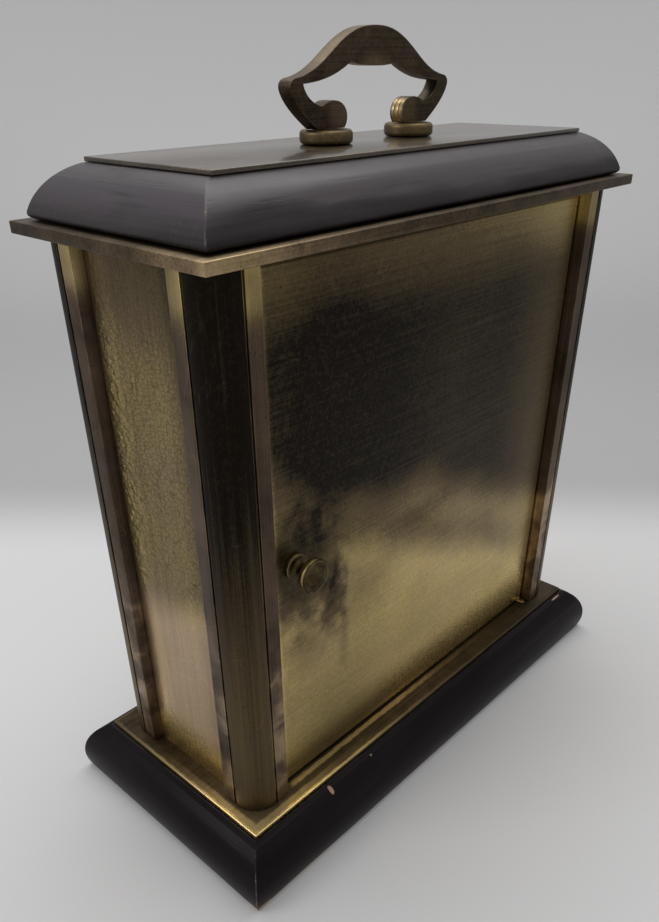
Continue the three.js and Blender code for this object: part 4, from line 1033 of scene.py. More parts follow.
def ring_silver(name):
    """Silvered brass, grained in circles, with brass showing through in places"""
    look = finish()
    made, tree, surface, place = new_material(name)
    middle = node_size("chapter_ring")[2]
    from_middle = put(tree, "Mapping", {"Vector": place, "Location": (0, 0, -middle.z)}).outputs[0]
    flat = stretched(tree, from_middle, (1, 0, 1))
    radius = put(tree, "VectorMath", {0: flat}, operation="LENGTH").outputs["Value"]
    grain = noise(tree, put(tree, "CombineXYZ", {0: times(tree, radius, 2600.0)}).outputs[0], 1.0, 2)
    worn = times(tree, patches(tree, place, 34.0, 0.56, 0.74), 0.6)
    base = blended(tree, worn, look.silver, look.brass_khaki)
    tint = blended(tree, times(tree, grain, 0.2), base, RING_GRAIN)
    tree.links.new(tint, surface.inputs["Base Color"])
    rough = plus(tree, 0.34, times(tree, grain, 0.1), times(tree, worn, 0.1))
    tree.links.new(rough, surface.inputs["Roughness"])
    surface.inputs["Metallic"].default_value = 1
    bumped(tree, surface, grain, 0.006)
    return made


def wax_black(name):
    made, tree, surface, place = new_material(name)
    speckle = noise(tree, place, 1500.0, 3)
    tint = blended(tree, times(tree, speckle, 0.4), finish().wax, WAX_DUST)
    tree.links.new(tint, surface.inputs["Base Color"])
    tree.links.new(plus(tree, 0.4, times(tree, speckle, 0.2)), surface.inputs["Roughness"])
    bumped(tree, surface, speckle, 0.01)
    return made


def clear_glass(name):
    made, tree, surface, place = new_material(name)
    dust = noise(tree, place, 60.0, 5, 0.4)
    surface.inputs["Base Color"].default_value = (0.97, 0.99, 0.98, 1)
    surface.inputs["Transmission Weight"].default_value = 1
    surface.inputs["IOR"].default_value = 1.5
    tree.links.new(rise(tree, dust, 0.45, 0.8, 0.01, 0.06), surface.inputs["Roughness"])
    return made


ACROSS = (16.0, 2400.0, 2400.0)
UPWARD = (2400.0, 2400.0, 16.0)
MAKERS = {
    "wood_plinth_finish": lambda n: ebonised(n, 0.09, 0.07, LEDGE_CHIPS + LEDGE_FLECKS, FOOT_WEAR),
    # The cap's high fade is partly faded stain and partly a painted sheen
    "wood_cap_finish": lambda n: ebonised(n, 0.75, 0.26, sheen=CAP_SHEEN),
    "door_brass": lambda n: old_brass(n, door_tone, ACROSS, 0.0),
    "panel_brass": lambda n: old_brass(n, panel_tone, UPWARD, panel_plum, 0.15, 0.3, grain=pebbles),
    "post_brass": lambda n: old_brass(n, post_tone, UPWARD, post_plum, 0.10),
    "base_brass": lambda n: old_brass(n, base_tone, ACROSS, 0.1, 0.12),
    "cornice_brass": lambda n: old_brass(n, cornice_tone, ACROSS, 0.4, wear=0.9),
    "top_brass": lambda n: old_brass(n, top_tone, ACROSS, 0.4, wear=0.9, lacquer=0.9),
    "bail_brass": lambda n: old_brass(n, bail_tone, ACROSS, 0.45, 0.2, 0.5),
    "collar_brass": lambda n: old_brass(n, even_tone(0.33), ACROSS, 0.1, 0.2, 0.9),
    "knob_brass": lambda n: old_brass(n, knob_tone, ACROSS, 0.0, 0.15, 0.7),
    "hinge_brass": lambda n: old_brass(n, even_tone(0.7), ACROSS, 0.0, 0.3, 0.8),
    "inner_brass": lambda n: old_brass(n, even_tone(0.5), UPWARD, 0.1),
    "dial_brass": lambda n: old_brass(n, even_tone(0.9, 0.12, 60.0), UPWARD, 0.0, 0.1, 0.3),
    "train_brass": lambda n: simple_metal(n, finish().brass_train, (900.0, 900.0, 900.0), 0.28),
    "plate_brass": lambda n: simple_metal(n, finish().brass_train, UPWARD, 0.32, 0.008),
    "plain_steel": lambda n: simple_metal(n, finish().steel, (900.0, 60.0, 900.0), 0.3),
    "blued_steel": lambda n: simple_metal(n, finish().blue, (700.0, 700.0, 700.0), 0.24, 0.002),
    "ring_silver": ring_silver,
    "numeral_wax": wax_black,
    "clear_glass": clear_glass,
}


def material(name):
    """The finish of that name, made the first time that it is asked for"""
    return bpy.data.materials.get(name) or MAKERS[name](name)


# ---------------------------------------------------------------- operators


class ClockOperator:
    bl_options = {"REGISTER", "UNDO"}

    def execute(self, context):
        self.make()
        return {"FINISHED"}


class CLOCK_OT_plinth(ClockOperator, bpy.types.Operator):
    """Model the moulded wood plinth"""

    bl_idname = "clock.plinth"
    bl_label = "Plinth"

    def make(self):
        plate_low, plate_high, _ = node_size("base_plate")
        low, high, _ = node_size("wood_plinth")
        radius = shape().nose_radius
        centre = (-8.1 * MM, 7.4 * MM)
        foot = -math.degrees(math.asin(centre[1] / radius))
        ledge_out = 0.6 * MM
        profile = [(ledge_out, low.z)] + arc(centre, radius, foot, 43.2, 26)
        profile += [(3.0 * MM, 23 * MM), (ledge_out, high.z), (-6 * MM, high.z)]
        piece = moulded("plinth_block", plate_high.x, plate_high.y, profile)
        recess_x, recess_y = plate_high.x + ledge_out - 0.2 * MM, plate_high.y + ledge_out - 0.2 * MM
        recess = stacked("recess", [(recess_x, recess_y, plate_low.z - 0.1 * MM), (recess_x, recess_y, 0.03)])
        cut_away(piece, recess)
        softened(piece, shape().wood_edge, 14, 3, 14)
        stands_for(piece, "wood_plinth_finish", "wood_plinth")


class CLOCK_OT_plates(ClockOperator, bpy.types.Operator):
    """Model the brass base, cornice and top plates"""

    bl_idname = "clock.plates"
    bl_label = "Plates"

    def make(self):
        for node, name, look in (
            ("base_plate", "base_sheet", "base_brass"),
            ("cornice_plate", "cornice_sheet", "cornice_brass"),
            ("top_plate", "top_sheet", "top_brass"),
        ):
            stands_for(sheet(name, node), look, node)


class CLOCK_OT_cap(ClockOperator, bpy.types.Operator):
    """Model the wood cap with its ovolo"""

    bl_idname = "clock.cap"
    bl_label = "Cap"

    def make(self):
        low, high, _ = node_size("wood_cap")
        _, plate, _ = node_size("cornice_plate")
        radius = shape().cap_radius
        drop = 19.5 * MM
        centre = (-23.4 * MM, high.z - drop)
        rise_end = math.degrees(math.asin(drop / radius))
        profile = [(-6 * MM, low.z), (-4.2 * MM, low.z + 1 * MM)]
        profile += arc(centre, radius, 18, rise_end, 26)
        piece = moulded("cap_block", plate.x, plate.y, profile)
        softened(piece, shape().wood_edge, 14, 3, 10)
        stands_for(piece, "wood_cap_finish", "wood_cap")


class CLOCK_OT_posts(ClockOperator, bpy.types.Operator):
    """Model the four corner posts"""

    bl_idname = "clock.posts"
    bl_label = "Corner posts"

    def section(self):
        """Strip, groove, quarter-round, groove and strip, then the returns inside the case"""
        sizes = shape()
        _, high, _ = node_size("corner_post_rear_right")
        panel_low, panel_high, _ = node_size("side_panel_right")
        radius, groove, strip = sizes.column_radius, sizes.groove, sizes.strip_width
        x, y = high.x - radius, high.y - radius
        fit = 0.3 * MM
        inside = panel_low.x - 1.5 * MM
        door_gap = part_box("rear_door")[1].x + 0.9 * MM
        return [
            (x - strip, high.y), (x - groove, high.y), (x - groove, high.y - groove), (x, high.y - groove),
            *arc((x, y), radius, 90, 0, 28),
            (high.x - groove, y), (high.x - groove, y - groove), (high.x, y - groove), (high.x, y - strip),
            (panel_high.x, y - strip - 1 * MM), (panel_low.x - fit, y - strip - 1 * MM),
            (panel_low.x - fit, y - strip - 4 * MM), (inside, y - strip - 4 * MM), (inside, y - 1.6 * MM),
            (x - 3 * MM, 31.5 * MM), (88 * MM, 31.5 * MM), (88 * MM, 32.7 * MM),
            (door_gap, 32.7 * MM), (door_gap, DOOR_FACE + 0.4 * MM),
        ]

    def make(self):
        low, high, _ = node_size("corner_post_rear_right")
        first = outlined("post_rear_right", self.section(), low.z, high.z)
        softened(first, 0.16 * MM, 35, 2, 20)
        for end, y in (("front", -1), ("rear", 1)):
            for side, x in (("left", -1), ("right", 1)):
                node = f"corner_post_{end}_{side}"
                piece = first
                if (x, y) != (1, 1):
                    piece = copied(first, f"post_{end}_{side}", Matrix.Diagonal((x, y, 1, 1)))
                stands_for(piece, "post_brass", node)


class CLOCK_OT_side_panels(ClockOperator, bpy.types.Operator):
    """Model the hammered side panels"""

    bl_idname = "clock.side_panels"
    bl_label = "Side panels"

    def make(self):
        low, high, middle = node_size("side_panel_right")
        size = high - low
        cell = 0.55 * MM
        across, up = int(size.y / cell), int(size.z / cell)
        clear_selection()
        bpy.ops.mesh.primitive_grid_add(x_subdivisions=up, y_subdivisions=across, size=1)
        first = named("panel_right")
        edit(first)
        resize(size.z, size.y)
        leave_edit()
        placed(first, (high.x - 0.3 * MM, 0, middle.z), ALONG_X)
        self.hammer(first)
        wall = first.modifiers.new("Wall", "SOLIDIFY")
        wall.thickness = size.x - 0.5 * MM
        wall.offset = -1
        apply_all(first)
        smooth(first, 50)
        second = copied(first, "panel_left", Matrix.Diagonal((-1, 1, 1, 1)))
        stands_for(first, "panel_brass", "side_panel_right")
        stands_for(second, "panel_brass", "side_panel_left")

    def hammer(self, piece):
        """Pebbled grain over the upper part, fading out towards the foot and the edges"""
        _, high, _ = node_size("side_panel_right")
        grain = piece.vertex_groups.new(name="Grain")
        for vertex in piece.data.vertices:
            height, side = vertex.co.z, abs(vertex.co.y)
            upper = min(1, max(0.12, (height - 96 * MM) / (22 * MM)))
            edge = min(1, max(0, (high.y - side) / (2 * MM)))
            top = min(1, max(0.35, (high.z - height) / (40 * MM)))
            grain.add([vertex.index], upper * edge * top, "REPLACE")
        for name, kind, size, depth in (
            ("Pebbles", "VORONOI", shape().hammer_size, shape().hammer_depth),
            ("Waves", "CLOUDS", 7 * MM, 0.12 * MM),
        ):
            texture = bpy.data.textures.new(name, kind)
            texture.noise_scale = size
            bumps = piece.modifiers.new(name, "DISPLACE")
            bumps.texture = texture
            bumps.texture_coords = "LOCAL"
            bumps.direction = "X"
            bumps.mid_level = 0.55
            bumps.strength = -depth
            bumps.vertex_group = "Grain"
        apply_all(piece)


class CLOCK_OT_handle(ClockOperator, bpy.types.Operator):
    """Model the carrying handle, its collars and its bolts"""

    bl_idname = "clock.handle"
    bl_label = "Handle"

    # Half of the bail from its crown, in mm: each step is (first lever, second lever, end)
    START = (0, 277.7)
    STEPS = [
        ((8, 277.7), (13, 275.8), (20.3, 271.2)),
        ((26, 267.4), (30, 265), (36.4, 263.9)),
        ((38.9, 263.7), (40.1, 262.7), (39.8, 261)),
        ((38.8, 257.6), (34.5, 254), (28, 249.8)),
        None,
        ((12.6, 252.6), (14.2, 257.6), (20.4, 257.6)),
        ((23, 257.6), (24.4, 256.6), (26, 256.2)),
        ((29.5, 256.6), (33.4, 259), (34.1, 262.2)),
        ((28.4, 262.6), (21, 263.2), (12, 268)),
        ((8.7, 267.1), (4.7, 266.6), (0, 266.7)),
    ]
    FOOT = (15.4, 249.8)

    def half(self):
        points = [self.START]
        for step in self.STEPS:
            if step is None:
                points.append(self.FOOT)
                continue
            levers = [Vector((x, y, 0)) for x, y in (points[-1], *step)]
            points += [(p.x, p.y) for p in interpolate_bezier(*levers, 9)[1:]]
        return points

    def reed_tool(self, side, y):
        """A thin curved blade that cuts one channel round a scroll's end"""
        centre = (side * 20.4 * MM, 251.6 * MM)
        start, end = (84, 200) if side > 0 else (96, -20)
        band = arc(centre, 9 * MM, start, end, 14) + arc(centre, 5.55 * MM, end, start, 14)
        blade = outlined("reed", [(x, z) for x, z in band], -0.2 * MM, 0.2 * MM)
        return placed(blade, (0, y, 0), AGAINST_Y)

    def make(self):
        low, high, _ = node_size("carry_handle")
        right = self.half()
        left = [(-x, z) for x, z in right[1:-1]][::-1]
        outline = [(x * MM, z * MM) for x, z in right + left]
        bail = placed(outlined("bail", outline, low.y, high.y), (0, 0, 0), AGAINST_Y)
        tools = [self.reed_tool(side, y * MM) for side in (-1, 1) for y in (-0.95, 0.95)]
        cut_away(bail, *tools)
        softened(bail, 0.62 * MM, 50, 4, 35)
        stands_for(bail, "bail_brass", "carry_handle")
        for side in ("left", "right"):
            node = f"handle_collar_{side}"
            low, high, middle = node_size(node)
            radius = (high.x - low.x) / 2
            height = high.z - low.z
            rim = height * 0.32
            lower = arc((radius - rim, low.z + rim), rim, -90, 0, 8)
            upper = arc((radius - rim, high.z - rim), rim, 0, 90, 8)
            inner = [(radius - 3.2 * MM, high.z - 0.1 * MM), (2 * MM, high.z)]
            profile = [(2 * MM, low.z), *lower, *upper, *inner]
            collar = placed(turned(f"collar_{side}", profile), (middle.x, 0, 0))
            smooth(collar, 30)
            stands_for(collar, "collar_brass", node)
            bolt = f"handle_bolt_{side}"
            stands_for(refined(bolt, f"bolt_{side}"), "plain_steel", bolt)


DOOR_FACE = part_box("rear_door")[1].y


def door_sheet(name, node):
    """A sheet with a sloping border, facing +Y"""
    low, high, middle = node_size(node)
    border = shape().door_border
    thick, step = 1.6 * MM, 0.8 * MM
    half_x, half_z = (high.x - low.x) / 2, (high.z - low.z) / 2
    profile = [(0, 0), (0, thick - step), (-border * 0.25, thick - step * 0.92), (-border, thick)]
    piece = moulded(name, half_x, half_z, profile)
    return placed(piece, (0, DOOR_FACE - thick, middle.z), ALONG_Y)


def knuckles(name):
    """The two rolled ends that turn on the pivot pins"""
    low, high, _ = node_size("rear_door")
    made = []
    for end, start in (("low", low.z), ("high", high.z - 9 * MM)):
        profile = [(1.2 * MM, start), (1.4 * MM, start + 0.2 * MM)]
        profile += [(1.4 * MM, start + 8.8 * MM), (1.2 * MM, start + 9 * MM)]
        knuckle = turned(f"{name}_{end}", profile, 24)
        made.append(placed(knuckle, (PIVOT[0], PIVOT[1], 0)))
    return made


PIVOT = (-86.9 * MM, 34.6 * MM)
FRONTWARD = Matrix.Diagonal((1, -1, 1, 1))


def shaft_hole(x, radius):
    hole = turned("hole", [(radius, 0), (radius, 20 * MM)], 32)
    return placed(hole, (x, 25 * MM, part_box("rear_door_knob")[0].z + 6.3 * MM), ALONG_Y)


class CLOCK_OT_rear_door(ClockOperator, bpy.types.Operator):
    """Model the brushed rear door"""

    bl_idname = "clock.rear_door"
    bl_label = "Rear door"

    def make(self):
        low, high, _ = node_size("rear_door")
        inner = DOOR_FACE - 1.6 * MM
        lip, depth, margin = 1.2 * MM, 1.6 * MM, 2 * MM
        main = softened(door_sheet("door_sheet", "rear_door"), 0.12 * MM, 12)
        folds = []
        latch_x = 86.2 * MM
        for name, x0, x1, z0, z1 in (
            ("latch_fold", latch_x - lip, latch_x, low.z + margin, high.z - margin),
            ("low_fold", -80 * MM, latch_x, low.z + margin, low.z + margin + lip),
            ("high_fold", -80 * MM, latch_x, high.z - margin - lip, high.z - margin),
        ):
            half_x, half_z = (x1 - x0) / 2, (z1 - z0) / 2
            fold = stacked(name, [(half_x, half_z, 0), (half_x, half_z, depth)])
            placed(fold, ((x0 + x1) / 2, inner - depth, (z0 + z1) / 2), ALONG_Y)
            folds.append(softened(fold, 0.15 * MM))
        door = one_piece("rear_door_leaf", main, *folds, *knuckles("rear_knuckle"))
        knob_middle = node_size("rear_door_knob")[2]
        cut_away(door, shaft_hole(knob_middle.x, 2.4 * MM))
        smooth(door, 30)
        stands_for(door, "door_brass", "rear_door")


class CLOCK_OT_front_door(ClockOperator, bpy.types.Operator):
    """Model the glazed front door"""

    bl_idname = "clock.front_door"
    bl_label = "Front door"

    def make(self):
        glass_low, glass_high, glass_middle = node_size("front_door_glass")
        grip = 3 * MM
        sight_x, sight_z = glass_high.x - grip, (glass_high.z - glass_low.z) / 2 - grip
        main = softened(door_sheet("frame_sheet", "front_door_frame"), 0.12 * MM, 12)
        inner = DOOR_FACE - 1.6 * MM
        rim = 5 * MM
        channel_x, channel_z = sight_x + rim, sight_z + rim
        channel = stacked("channel", [(channel_x, channel_z, 0), (channel_x, channel_z, 2.2 * MM)])
        placed(channel, (0, inner - 2.1 * MM, glass_middle.z), ALONG_Y)
        softened(channel, 0.2 * MM)
        rebate_x, rebate_z = glass_high.x + 0.3 * MM, sight_z + grip + 0.3 * MM
        rebate = stacked("rebate", [(rebate_x, rebate_z, 0), (rebate_x, rebate_z, 3 * MM)])
        placed(rebate, (0, inner - 3 * MM, glass_middle.z), ALONG_Y)
        slope = 0.9 * MM
        sight_rings = [(sight_x, sight_z, 0), (sight_x, sight_z, 10.7 * MM)]
        sight_rings += [(sight_x + slope * 2, sight_z + slope * 2, 12.5 * MM)]
        sight = placed(stacked("sight", sight_rings), (0, 25 * MM, glass_middle.z), ALONG_Y)
        frame_leaf = one_piece("front_door_leaf", main, channel, *knuckles("front_knuckle"))
        knob_middle = node_size("front_door_knob")[2]
        cut_away(frame_leaf, rebate, sight, shaft_hole(knob_middle.x, 2.3 * MM))
        smooth(frame_leaf, 30)
        front = copied(frame_leaf, "front_door_rails", FRONTWARD)
        bpy.data.objects.remove(frame_leaf)
        stands_for(front, "inner_brass", "front_door_frame")
        pane = refined("front_door_glass", "front_pane", 0.3 * MM)
        stands_for(pane, "clear_glass", "front_door_glass")


class CLOCK_OT_knobs(ClockOperator, bpy.types.Operator):
    """Model the door knobs and the latches behind them"""

    bl_idname = "clock.knobs"
    bl_label = "Knobs and latches"

    def knob(self, name, x, z, size):
        face = DOOR_FACE + 0.1 * MM
        neck = [(2.5, 2.2), (2.1, 3.0), (2.0, 4.0), (2.4, 5.2), (3.6, 6.2), (5.2, 6.9)]
        head = [(5.9, 7.5), (6.25, 8.3), (6.3, 9.1), (6.1, 10.0), (5.7, 10.5), (5.2, 10.55), (4.8, 10.2)]
        dome = [(4.4, 10.1), (3.9, 10.5), (3.2, 11.4), (2.4, 12.2), (1.4, 12.9), (0.5, 13.15), (0, 13.2)]
        collar = [(4.3, 0), (4.7, 0.4), (4.7, 1.2), (4.3, 1.6), (3.2, 1.75)]
        shaft = [(0, 30.2 * MM - face), (2.1 * MM, 30.2 * MM - face), (2.1 * MM, 0)]
        turned_part = [(r * size * MM, y * MM) for r, y in collar + neck + head + dome]
        piece = turned(name, shaft + turned_part, 56)
        placed(piece, (x, face, z), ALONG_Y)
        return smooth(piece, 32)

    def make(self):
        for end, size in (("rear", 1.0), ("front", 0.72)):
            middle = node_size(f"{end}_door_knob")[2]
            knob = self.knob(f"{end}_knob_turned", middle.x, middle.z, size)
            if end == "front":
                front = copied(knob, "front_knob_body", FRONTWARD)
                bpy.data.objects.remove(knob)
                knob = front
            stands_for(knob, "knob_brass", f"{end}_door_knob")
            latch = f"{end}_door_latch"
            stands_for(refined(latch, f"{end}_latch_tongue", 0.15 * MM), "inner_brass", latch)


class CLOCK_OT_pivots(ClockOperator, bpy.types.Operator):
    """Model the lugs that the doors turn on"""

    bl_idname = "clock.pivots"
    bl_label = "Pivots"

    def make(self):
        for end in ("front", "rear"):
            for level in ("lower", "upper"):
                node = f"{end}_pivot_{level}"
                stands_for(refined(node, f"{end}_lug_{level}", 0.16 * MM, 50), "hinge_brass", node)


class CLOCK_OT_dial(ClockOperator, bpy.types.Operator):
    """Model the dial plate, the chapter ring and its numerals"""

    bl_idname = "clock.dial"
    bl_label = "Dial"

    NUMERALS = ("XII", "I", "II", "III", "IIII", "V", "VI", "VII", "VIII", "IX", "X", "XI")

    def numeral(self, hour, text, radius, face, middle):
        clear_selection()
        bpy.ops.object.text_add()
        words = bpy.context.active_object
        words.data.body = text
        words.data.size = shape().numeral_height
        words.data.align_x = "CENTER"
        words.data.align_y = "CENTER"
        words.data.extrude = 0.02 * MM
        words.data.space_character = 0.92
        bpy.ops.object.convert(target="MESH")
        words = bpy.context.active_object
        placed(words, (0, face, radius), AGAINST_Y)
        words.data.transform(Matrix.Rotation(math.tau * hour / 12, 4, "Y"))
        words.data.transform(Matrix.Translation((0, 0, middle.z)))
        return words

    def marks(self, outer, face, middle):
        """Minute marks between the numerals and the ring's edge, longer at each hour"""
        made = []
        for count, width, inner in ((60, 0.35, 2.6), (12, 0.9, 3.4)):
            half_x, half_z = width * MM / 2, inner * MM / 2
            bar = stacked("mark", [(half_x, half_z, 0), (half_x, half_z, 0.04 * MM)])
            placed(bar, (0, face, outer - half_z), AGAINST_Y)
            for step in range(count):
                turn = Matrix.Translation((0, 0, middle.z)) @ Matrix.Rotation(math.tau * step / count, 4, "Y")
                made.append(copied(bar, f"mark_{count}_{step}", turn))
            bpy.data.objects.remove(bar)
        for radius in (outer + 0.2 * MM, outer - 3.6 * MM):
            clear_selection()
            bpy.ops.mesh.primitive_torus_add(
                major_radius=radius, minor_radius=0.12 * MM, major_segments=128, minor_segments=6
            )
            made.append(placed(named("ring_line"), (0, face, middle.z), AGAINST_Y))
        return made

    def make(self):
        low, high, middle = node_size("chapter_ring")
        outer = (high.x - low.x) / 2
        inner = outer * 57 / 80
        plate = refined("dial_plate", "dial_sheet", 0.2 * MM)
        stands_for(plate, "dial_brass", "dial_plate")
        depth = high.y - low.y
        disc = turned("ring_disc", [(outer, 0), (outer, depth)], 160)
        hole = turned("ring_hole", [(inner, -depth), (inner, 2 * depth)], 128)
        cut_away(disc, hole)
        placed(disc, (0, high.y, middle.z), AGAINST_Y)
        softened(disc, 0.25 * MM, 40, 3, 20)
        stands_for(disc, "ring_silver", "chapter_ring")
        face = low.y - 0.01 * MM
        texts = [
            self.numeral(hour, text, (outer - 4 * MM + inner) / 2, face, middle)
            for hour, text in enumerate(self.NUMERALS)
        ]
        numerals = one_piece("hour_numerals", *texts)
        marks = one_piece("minute_marks", *self.marks(outer - 1.2 * MM, face, middle))
        for piece in (numerals, marks):
            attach(piece, BODY_OF["chapter_ring"])
            dressed(piece, "numeral_wax")


class CLOCK_OT_hands(ClockOperator, bpy.types.Operator):
    """Model the hands and their nut"""

    bl_idname = "clock.hands"
    bl_label = "Hands"

    def make(self):
        for hand in ("hour_hand", "minute_hand"):
            stands_for(refined(hand, hand + "_leaf", 0.14 * MM, 40), "blued_steel", hand)
        stands_for(refined("hand_nut", "collet_nut", 0.1 * MM), "train_brass", "hand_nut")


class CLOCK_OT_movement_frame(ClockOperator, bpy.types.Operator):
    """Model the movement's plates, pillars, posts and cock"""

    bl_idname = "clock.movement_frame"
    bl_label = "Movement frame"

    def pillar(self, node, name):
        low, high, middle = node_size(node)
        radius, length_y = (high.x - low.x) / 2, high.y - low.y
        slim, belly = radius * 0.59, radius * 0.78
        end = [(radius - 0.2 * MM, 0), (radius, 0.2 * MM), (radius, 2.2 * MM), (radius - 0.3 * MM, 2.5 * MM)]
        end += [(slim + 0.5 * MM, 3.2 * MM), (slim, 4.2 * MM)]
        shaft = length_y - 8.4 * MM
        middle_rings = [
            (slim + (belly - slim) * math.sin(math.pi * t), 4.2 * MM + t * shaft)
            for t in (0.2, 0.35, 0.5, 0.65, 0.8)
        ]
        other = [(r, length_y - y) for r, y in end][::-1]
        piece = turned(name, end + middle_rings + other, 36)
        placed(piece, (middle.x, low.y, middle.z), ALONG_Y)
        return smooth(piece, 35)

    def make(self):
        for level in ("lower", "upper"):
            for side in ("left", "right"):
                node = f"{level}_pillar_{side}"
                stands_for(self.pillar(node, f"{level}_pillar_turned_{side}"), "train_brass", node)
        for node, look in (
            ("front_movement_plate", "plate_brass"), ("back_movement_plate", "plate_brass"),
            ("movement_post_left", "plain_steel"), ("movement_post_right", "plain_steel"),
            ("pendulum_cock", "plate_brass"),
        ):
            stands_for(refined(node, node + "_made", 0.15 * MM, 40), look, node)


class CLOCK_OT_wheels(ClockOperator, bpy.types.Operator):
    """Model the going train, the motion work and the ratchet"""

    bl_idname = "clock.wheels"
    bl_label = "Wheels"

    def make(self):
        for node in ("going_barrel", "second_wheel", "centre_wheel", "third_wheel", "escape_wheel",
                     "minute_wheel", "hour_wheel"):
            stands_for(refined(node, node + "_cut", 0.06 * MM), "train_brass", node)
        steels = ("winding_arbor", "cannon_pinion", "ratchet_wheel", "click", "click_screw", "click_spring")
        for node in steels:
            stands_for(refined(node, node + "_cut", 0.08 * MM), "plain_steel", node)


class CLOCK_OT_pendulum(ClockOperator, bpy.types.Operator):
    """Model the anchor, the crutch and the pendulum"""

    bl_idname = "clock.pendulum"
    bl_label = "Escapement and pendulum"

    def bob(self):
        low, high, middle = node_size("pendulum_bob")
        radius, half = (high.x - low.x) / 2, (high.y - low.y) / 2
        angles = [math.radians(d) for d in range(-86, 87, 6)]
        dome = [(radius * math.cos(a), half * math.sin(a)) for a in angles]
        piece = turned("bob_lens", [(0, -half)] + dome + [(0, half)], 72)
        placed(piece, (0, middle.y, middle.z), ALONG_Y)
        bore = placed(turned("bore", [(1.3 * MM, 0), (1.3 * MM, 50 * MM)], 24), (0, middle.y, low.z - 8 * MM))
        cut_away(piece, bore)
        return smooth(piece, 35)

    def make(self):
        stands_for(self.bob(), "train_brass", "pendulum_bob")
        for node, look in (
            ("pallet_anchor", "plain_steel"), ("crutch", "plain_steel"), ("suspension_spring", "plain_steel"),
            ("pendulum_rod", "plain_steel"), ("rating_nut", "train_brass"),
        ):
            stands_for(refined(node, node + "_made", 0.08 * MM), look, node)


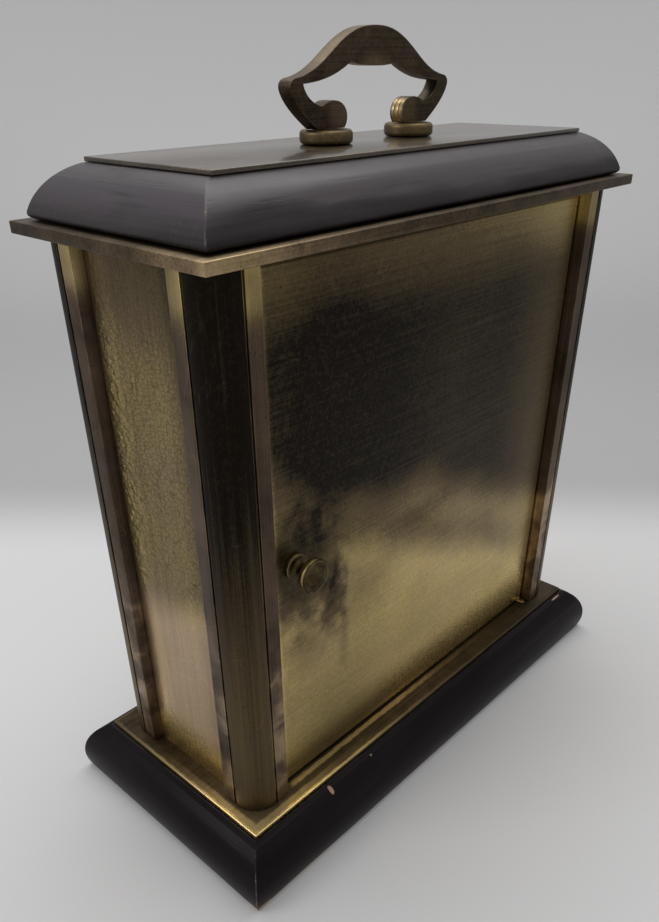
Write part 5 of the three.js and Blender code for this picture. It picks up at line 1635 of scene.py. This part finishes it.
class CLOCK_OT_stage(ClockOperator, bpy.types.Operator):
    """Set the floor, the lights and the camera"""

    bl_idname = "clock.stage"
    bl_label = "Stage"

    def floor(self, stage):
        """A round bowl: its wall comes down in a wide curve to the floor, which closes it"""
        flat, bend, wall = 0.8, 0.5, 0.25
        angles = [math.radians(90 - 7.5 * step) for step in range(13)]
        curve = [(flat + bend * math.sin(a), bend * (1 - math.cos(a))) for a in angles]
        radius, height = flat + bend, bend + wall
        clear_selection()
        bpy.ops.mesh.primitive_circle_add(vertices=96, radius=radius, location=(0, 0, height))
        sweep = named("sweep")
        edit(sweep)
        bpy.ops.mesh.select_mode(type="EDGE")
        for next_radius, next_height in curve:
            extrude(0, 0, next_height - height)
            resize(next_radius / radius, next_radius / radius)
            radius, height = next_radius, next_height
        bpy.ops.mesh.edge_face_add()
        bpy.ops.mesh.select_mode(type="VERT")
        leave_edit()
        placed(sweep, sweep.location)
        smooth(sweep, 40)
        made, tree, surface, place = new_material("sweep_paper")
        grain = noise(tree, place, 500.0, 3)
        part = parts_of(tree, place)
        heading = stage.camera_heading
        along = (times(tree, part["X"], math.cos(heading)), times(tree, part["Y"], math.sin(heading)))
        behind = plus(tree, *along)
        shade = rise(tree, behind, 0.13, 0.24, 0.0, 0.4)
        lift = rise(tree, behind, 0.5, 1.2, 0.0, 0.28)
        dim = tuple(v * 0.05 for v in stage.floor)
        pale = blended(tree, maths(tree, "SUBTRACT", shade, lift), stage.floor, dim)
        tree.links.new(pale, surface.inputs["Base Color"])
        surface.inputs["Roughness"].default_value = 0.9
        surface.inputs["Specular IOR Level"].default_value = 0.1
        bumped(tree, surface, grain, 0.02)
        sweep.data.materials.append(made)

    def light(self, name, place, size, power, warmth):
        clear_selection()
        bpy.ops.object.light_add(type="AREA", location=place)
        lamp = bpy.context.active_object
        lamp.name = name
        lamp.data.shape = "RECTANGLE"
        lamp.data.size, lamp.data.size_y = size
        lamp.data.energy = power
        lamp.data.color = warmth
        aim = Vector((0, 0, 0.12)) - Vector(place)
        lamp.rotation_euler = aim.to_track_quat("-Z", "Y").to_euler()

    def camera(self, stage):
        heading, dip, roll = stage.camera_heading, stage.camera_dip, stage.camera_roll
        view = Vector((math.cos(dip) * math.cos(heading), math.cos(dip) * math.sin(heading), -math.sin(dip)))
        right = view.cross(Vector((0, 0, 1))).normalized()
        up = right.cross(view)
        level_right = math.cos(roll) * right + math.sin(roll) * up
        level_up = math.cos(roll) * up - math.sin(roll) * right
        clear_selection()
        bpy.ops.object.camera_add()
        camera = bpy.context.active_object
        camera.name = "photo_camera"
        axes = Matrix((level_right, level_up, -view)).transposed().to_4x4()
        camera.matrix_world = Matrix.Translation(stage.camera_place) @ axes
        camera.data.lens = stage.lens
        camera.data.sensor_width = 36
        camera.data.sensor_fit = "AUTO"
        camera.data.shift_x = -0.0013
        camera.data.shift_y = 0.123
        camera.data.clip_start = 0.01
        bpy.context.scene.camera = camera

    def make(self):
        stage = bpy.context.scene.clock_stage
        scene = bpy.context.scene
        self.floor(stage)
        self.light("top_light", (-0.25, -0.2, 1.15), (1.1, 0.9), stage.top_power, (1, 0.99, 0.97))
        self.light("side_window", (1.1, -0.5, 0.8), (0.5, 0.7), stage.side_power, (0.96, 0.98, 1))
        world = bpy.data.worlds.new("surroundings")
        scene.world = world
        world.use_nodes = True
        background = world.node_tree.nodes["Background"]
        background.inputs["Color"].default_value = (*stage.sky, 1)
        background.inputs["Strength"].default_value = stage.sky_strength
        scene.view_settings.view_transform = "Standard"
        self.camera(stage)


OPERATORS = (
    CLOCK_OT_plinth,
    CLOCK_OT_plates,
    CLOCK_OT_cap,
    CLOCK_OT_posts,
    CLOCK_OT_side_panels,
    CLOCK_OT_handle,
    CLOCK_OT_rear_door,
    CLOCK_OT_front_door,
    CLOCK_OT_knobs,
    CLOCK_OT_pivots,
    CLOCK_OT_dial,
    CLOCK_OT_hands,
    CLOCK_OT_movement_frame,
    CLOCK_OT_wheels,
    CLOCK_OT_pendulum,
    CLOCK_OT_stage,
)


class CLOCK_PT_panel(bpy.types.Panel):
    """Lists the clock's operators and properties"""

    bl_label = "Bracket Clock"
    bl_idname = "CLOCK_PT_panel"
    bl_space_type = "VIEW_3D"
    bl_region_type = "UI"
    bl_category = "Clock"

    def draw(self, context):
        scene = context.scene
        for operator in OPERATORS:
            self.layout.operator(operator.bl_idname)
        for settings in (scene.clock_shape, scene.clock_finish, scene.clock_stage):
            box = self.layout.box()
            for name in settings.__annotations__:
                box.prop(settings, name)


CLASSES = (ClockShape, ClockFinish, ClockStage, *OPERATORS, CLOCK_PT_panel)


def register():
    for item in CLASSES:
        bpy.utils.register_class(item)
    bpy.types.Scene.clock_shape = PointerProperty(type=ClockShape)
    bpy.types.Scene.clock_finish = PointerProperty(type=ClockFinish)
    bpy.types.Scene.clock_stage = PointerProperty(type=ClockStage)


def unregister():
    for name in ("clock_shape", "clock_finish", "clock_stage"):
        delattr(bpy.types.Scene, name)
    for item in reversed(CLASSES):
        bpy.utils.unregister_class(item)


def main():
    register()
    for operator in OPERATORS:
        family, action = operator.bl_idname.split(".")
        getattr(getattr(bpy.ops, family), action)()
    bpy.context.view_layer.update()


if __name__ == "__main__":
    main()
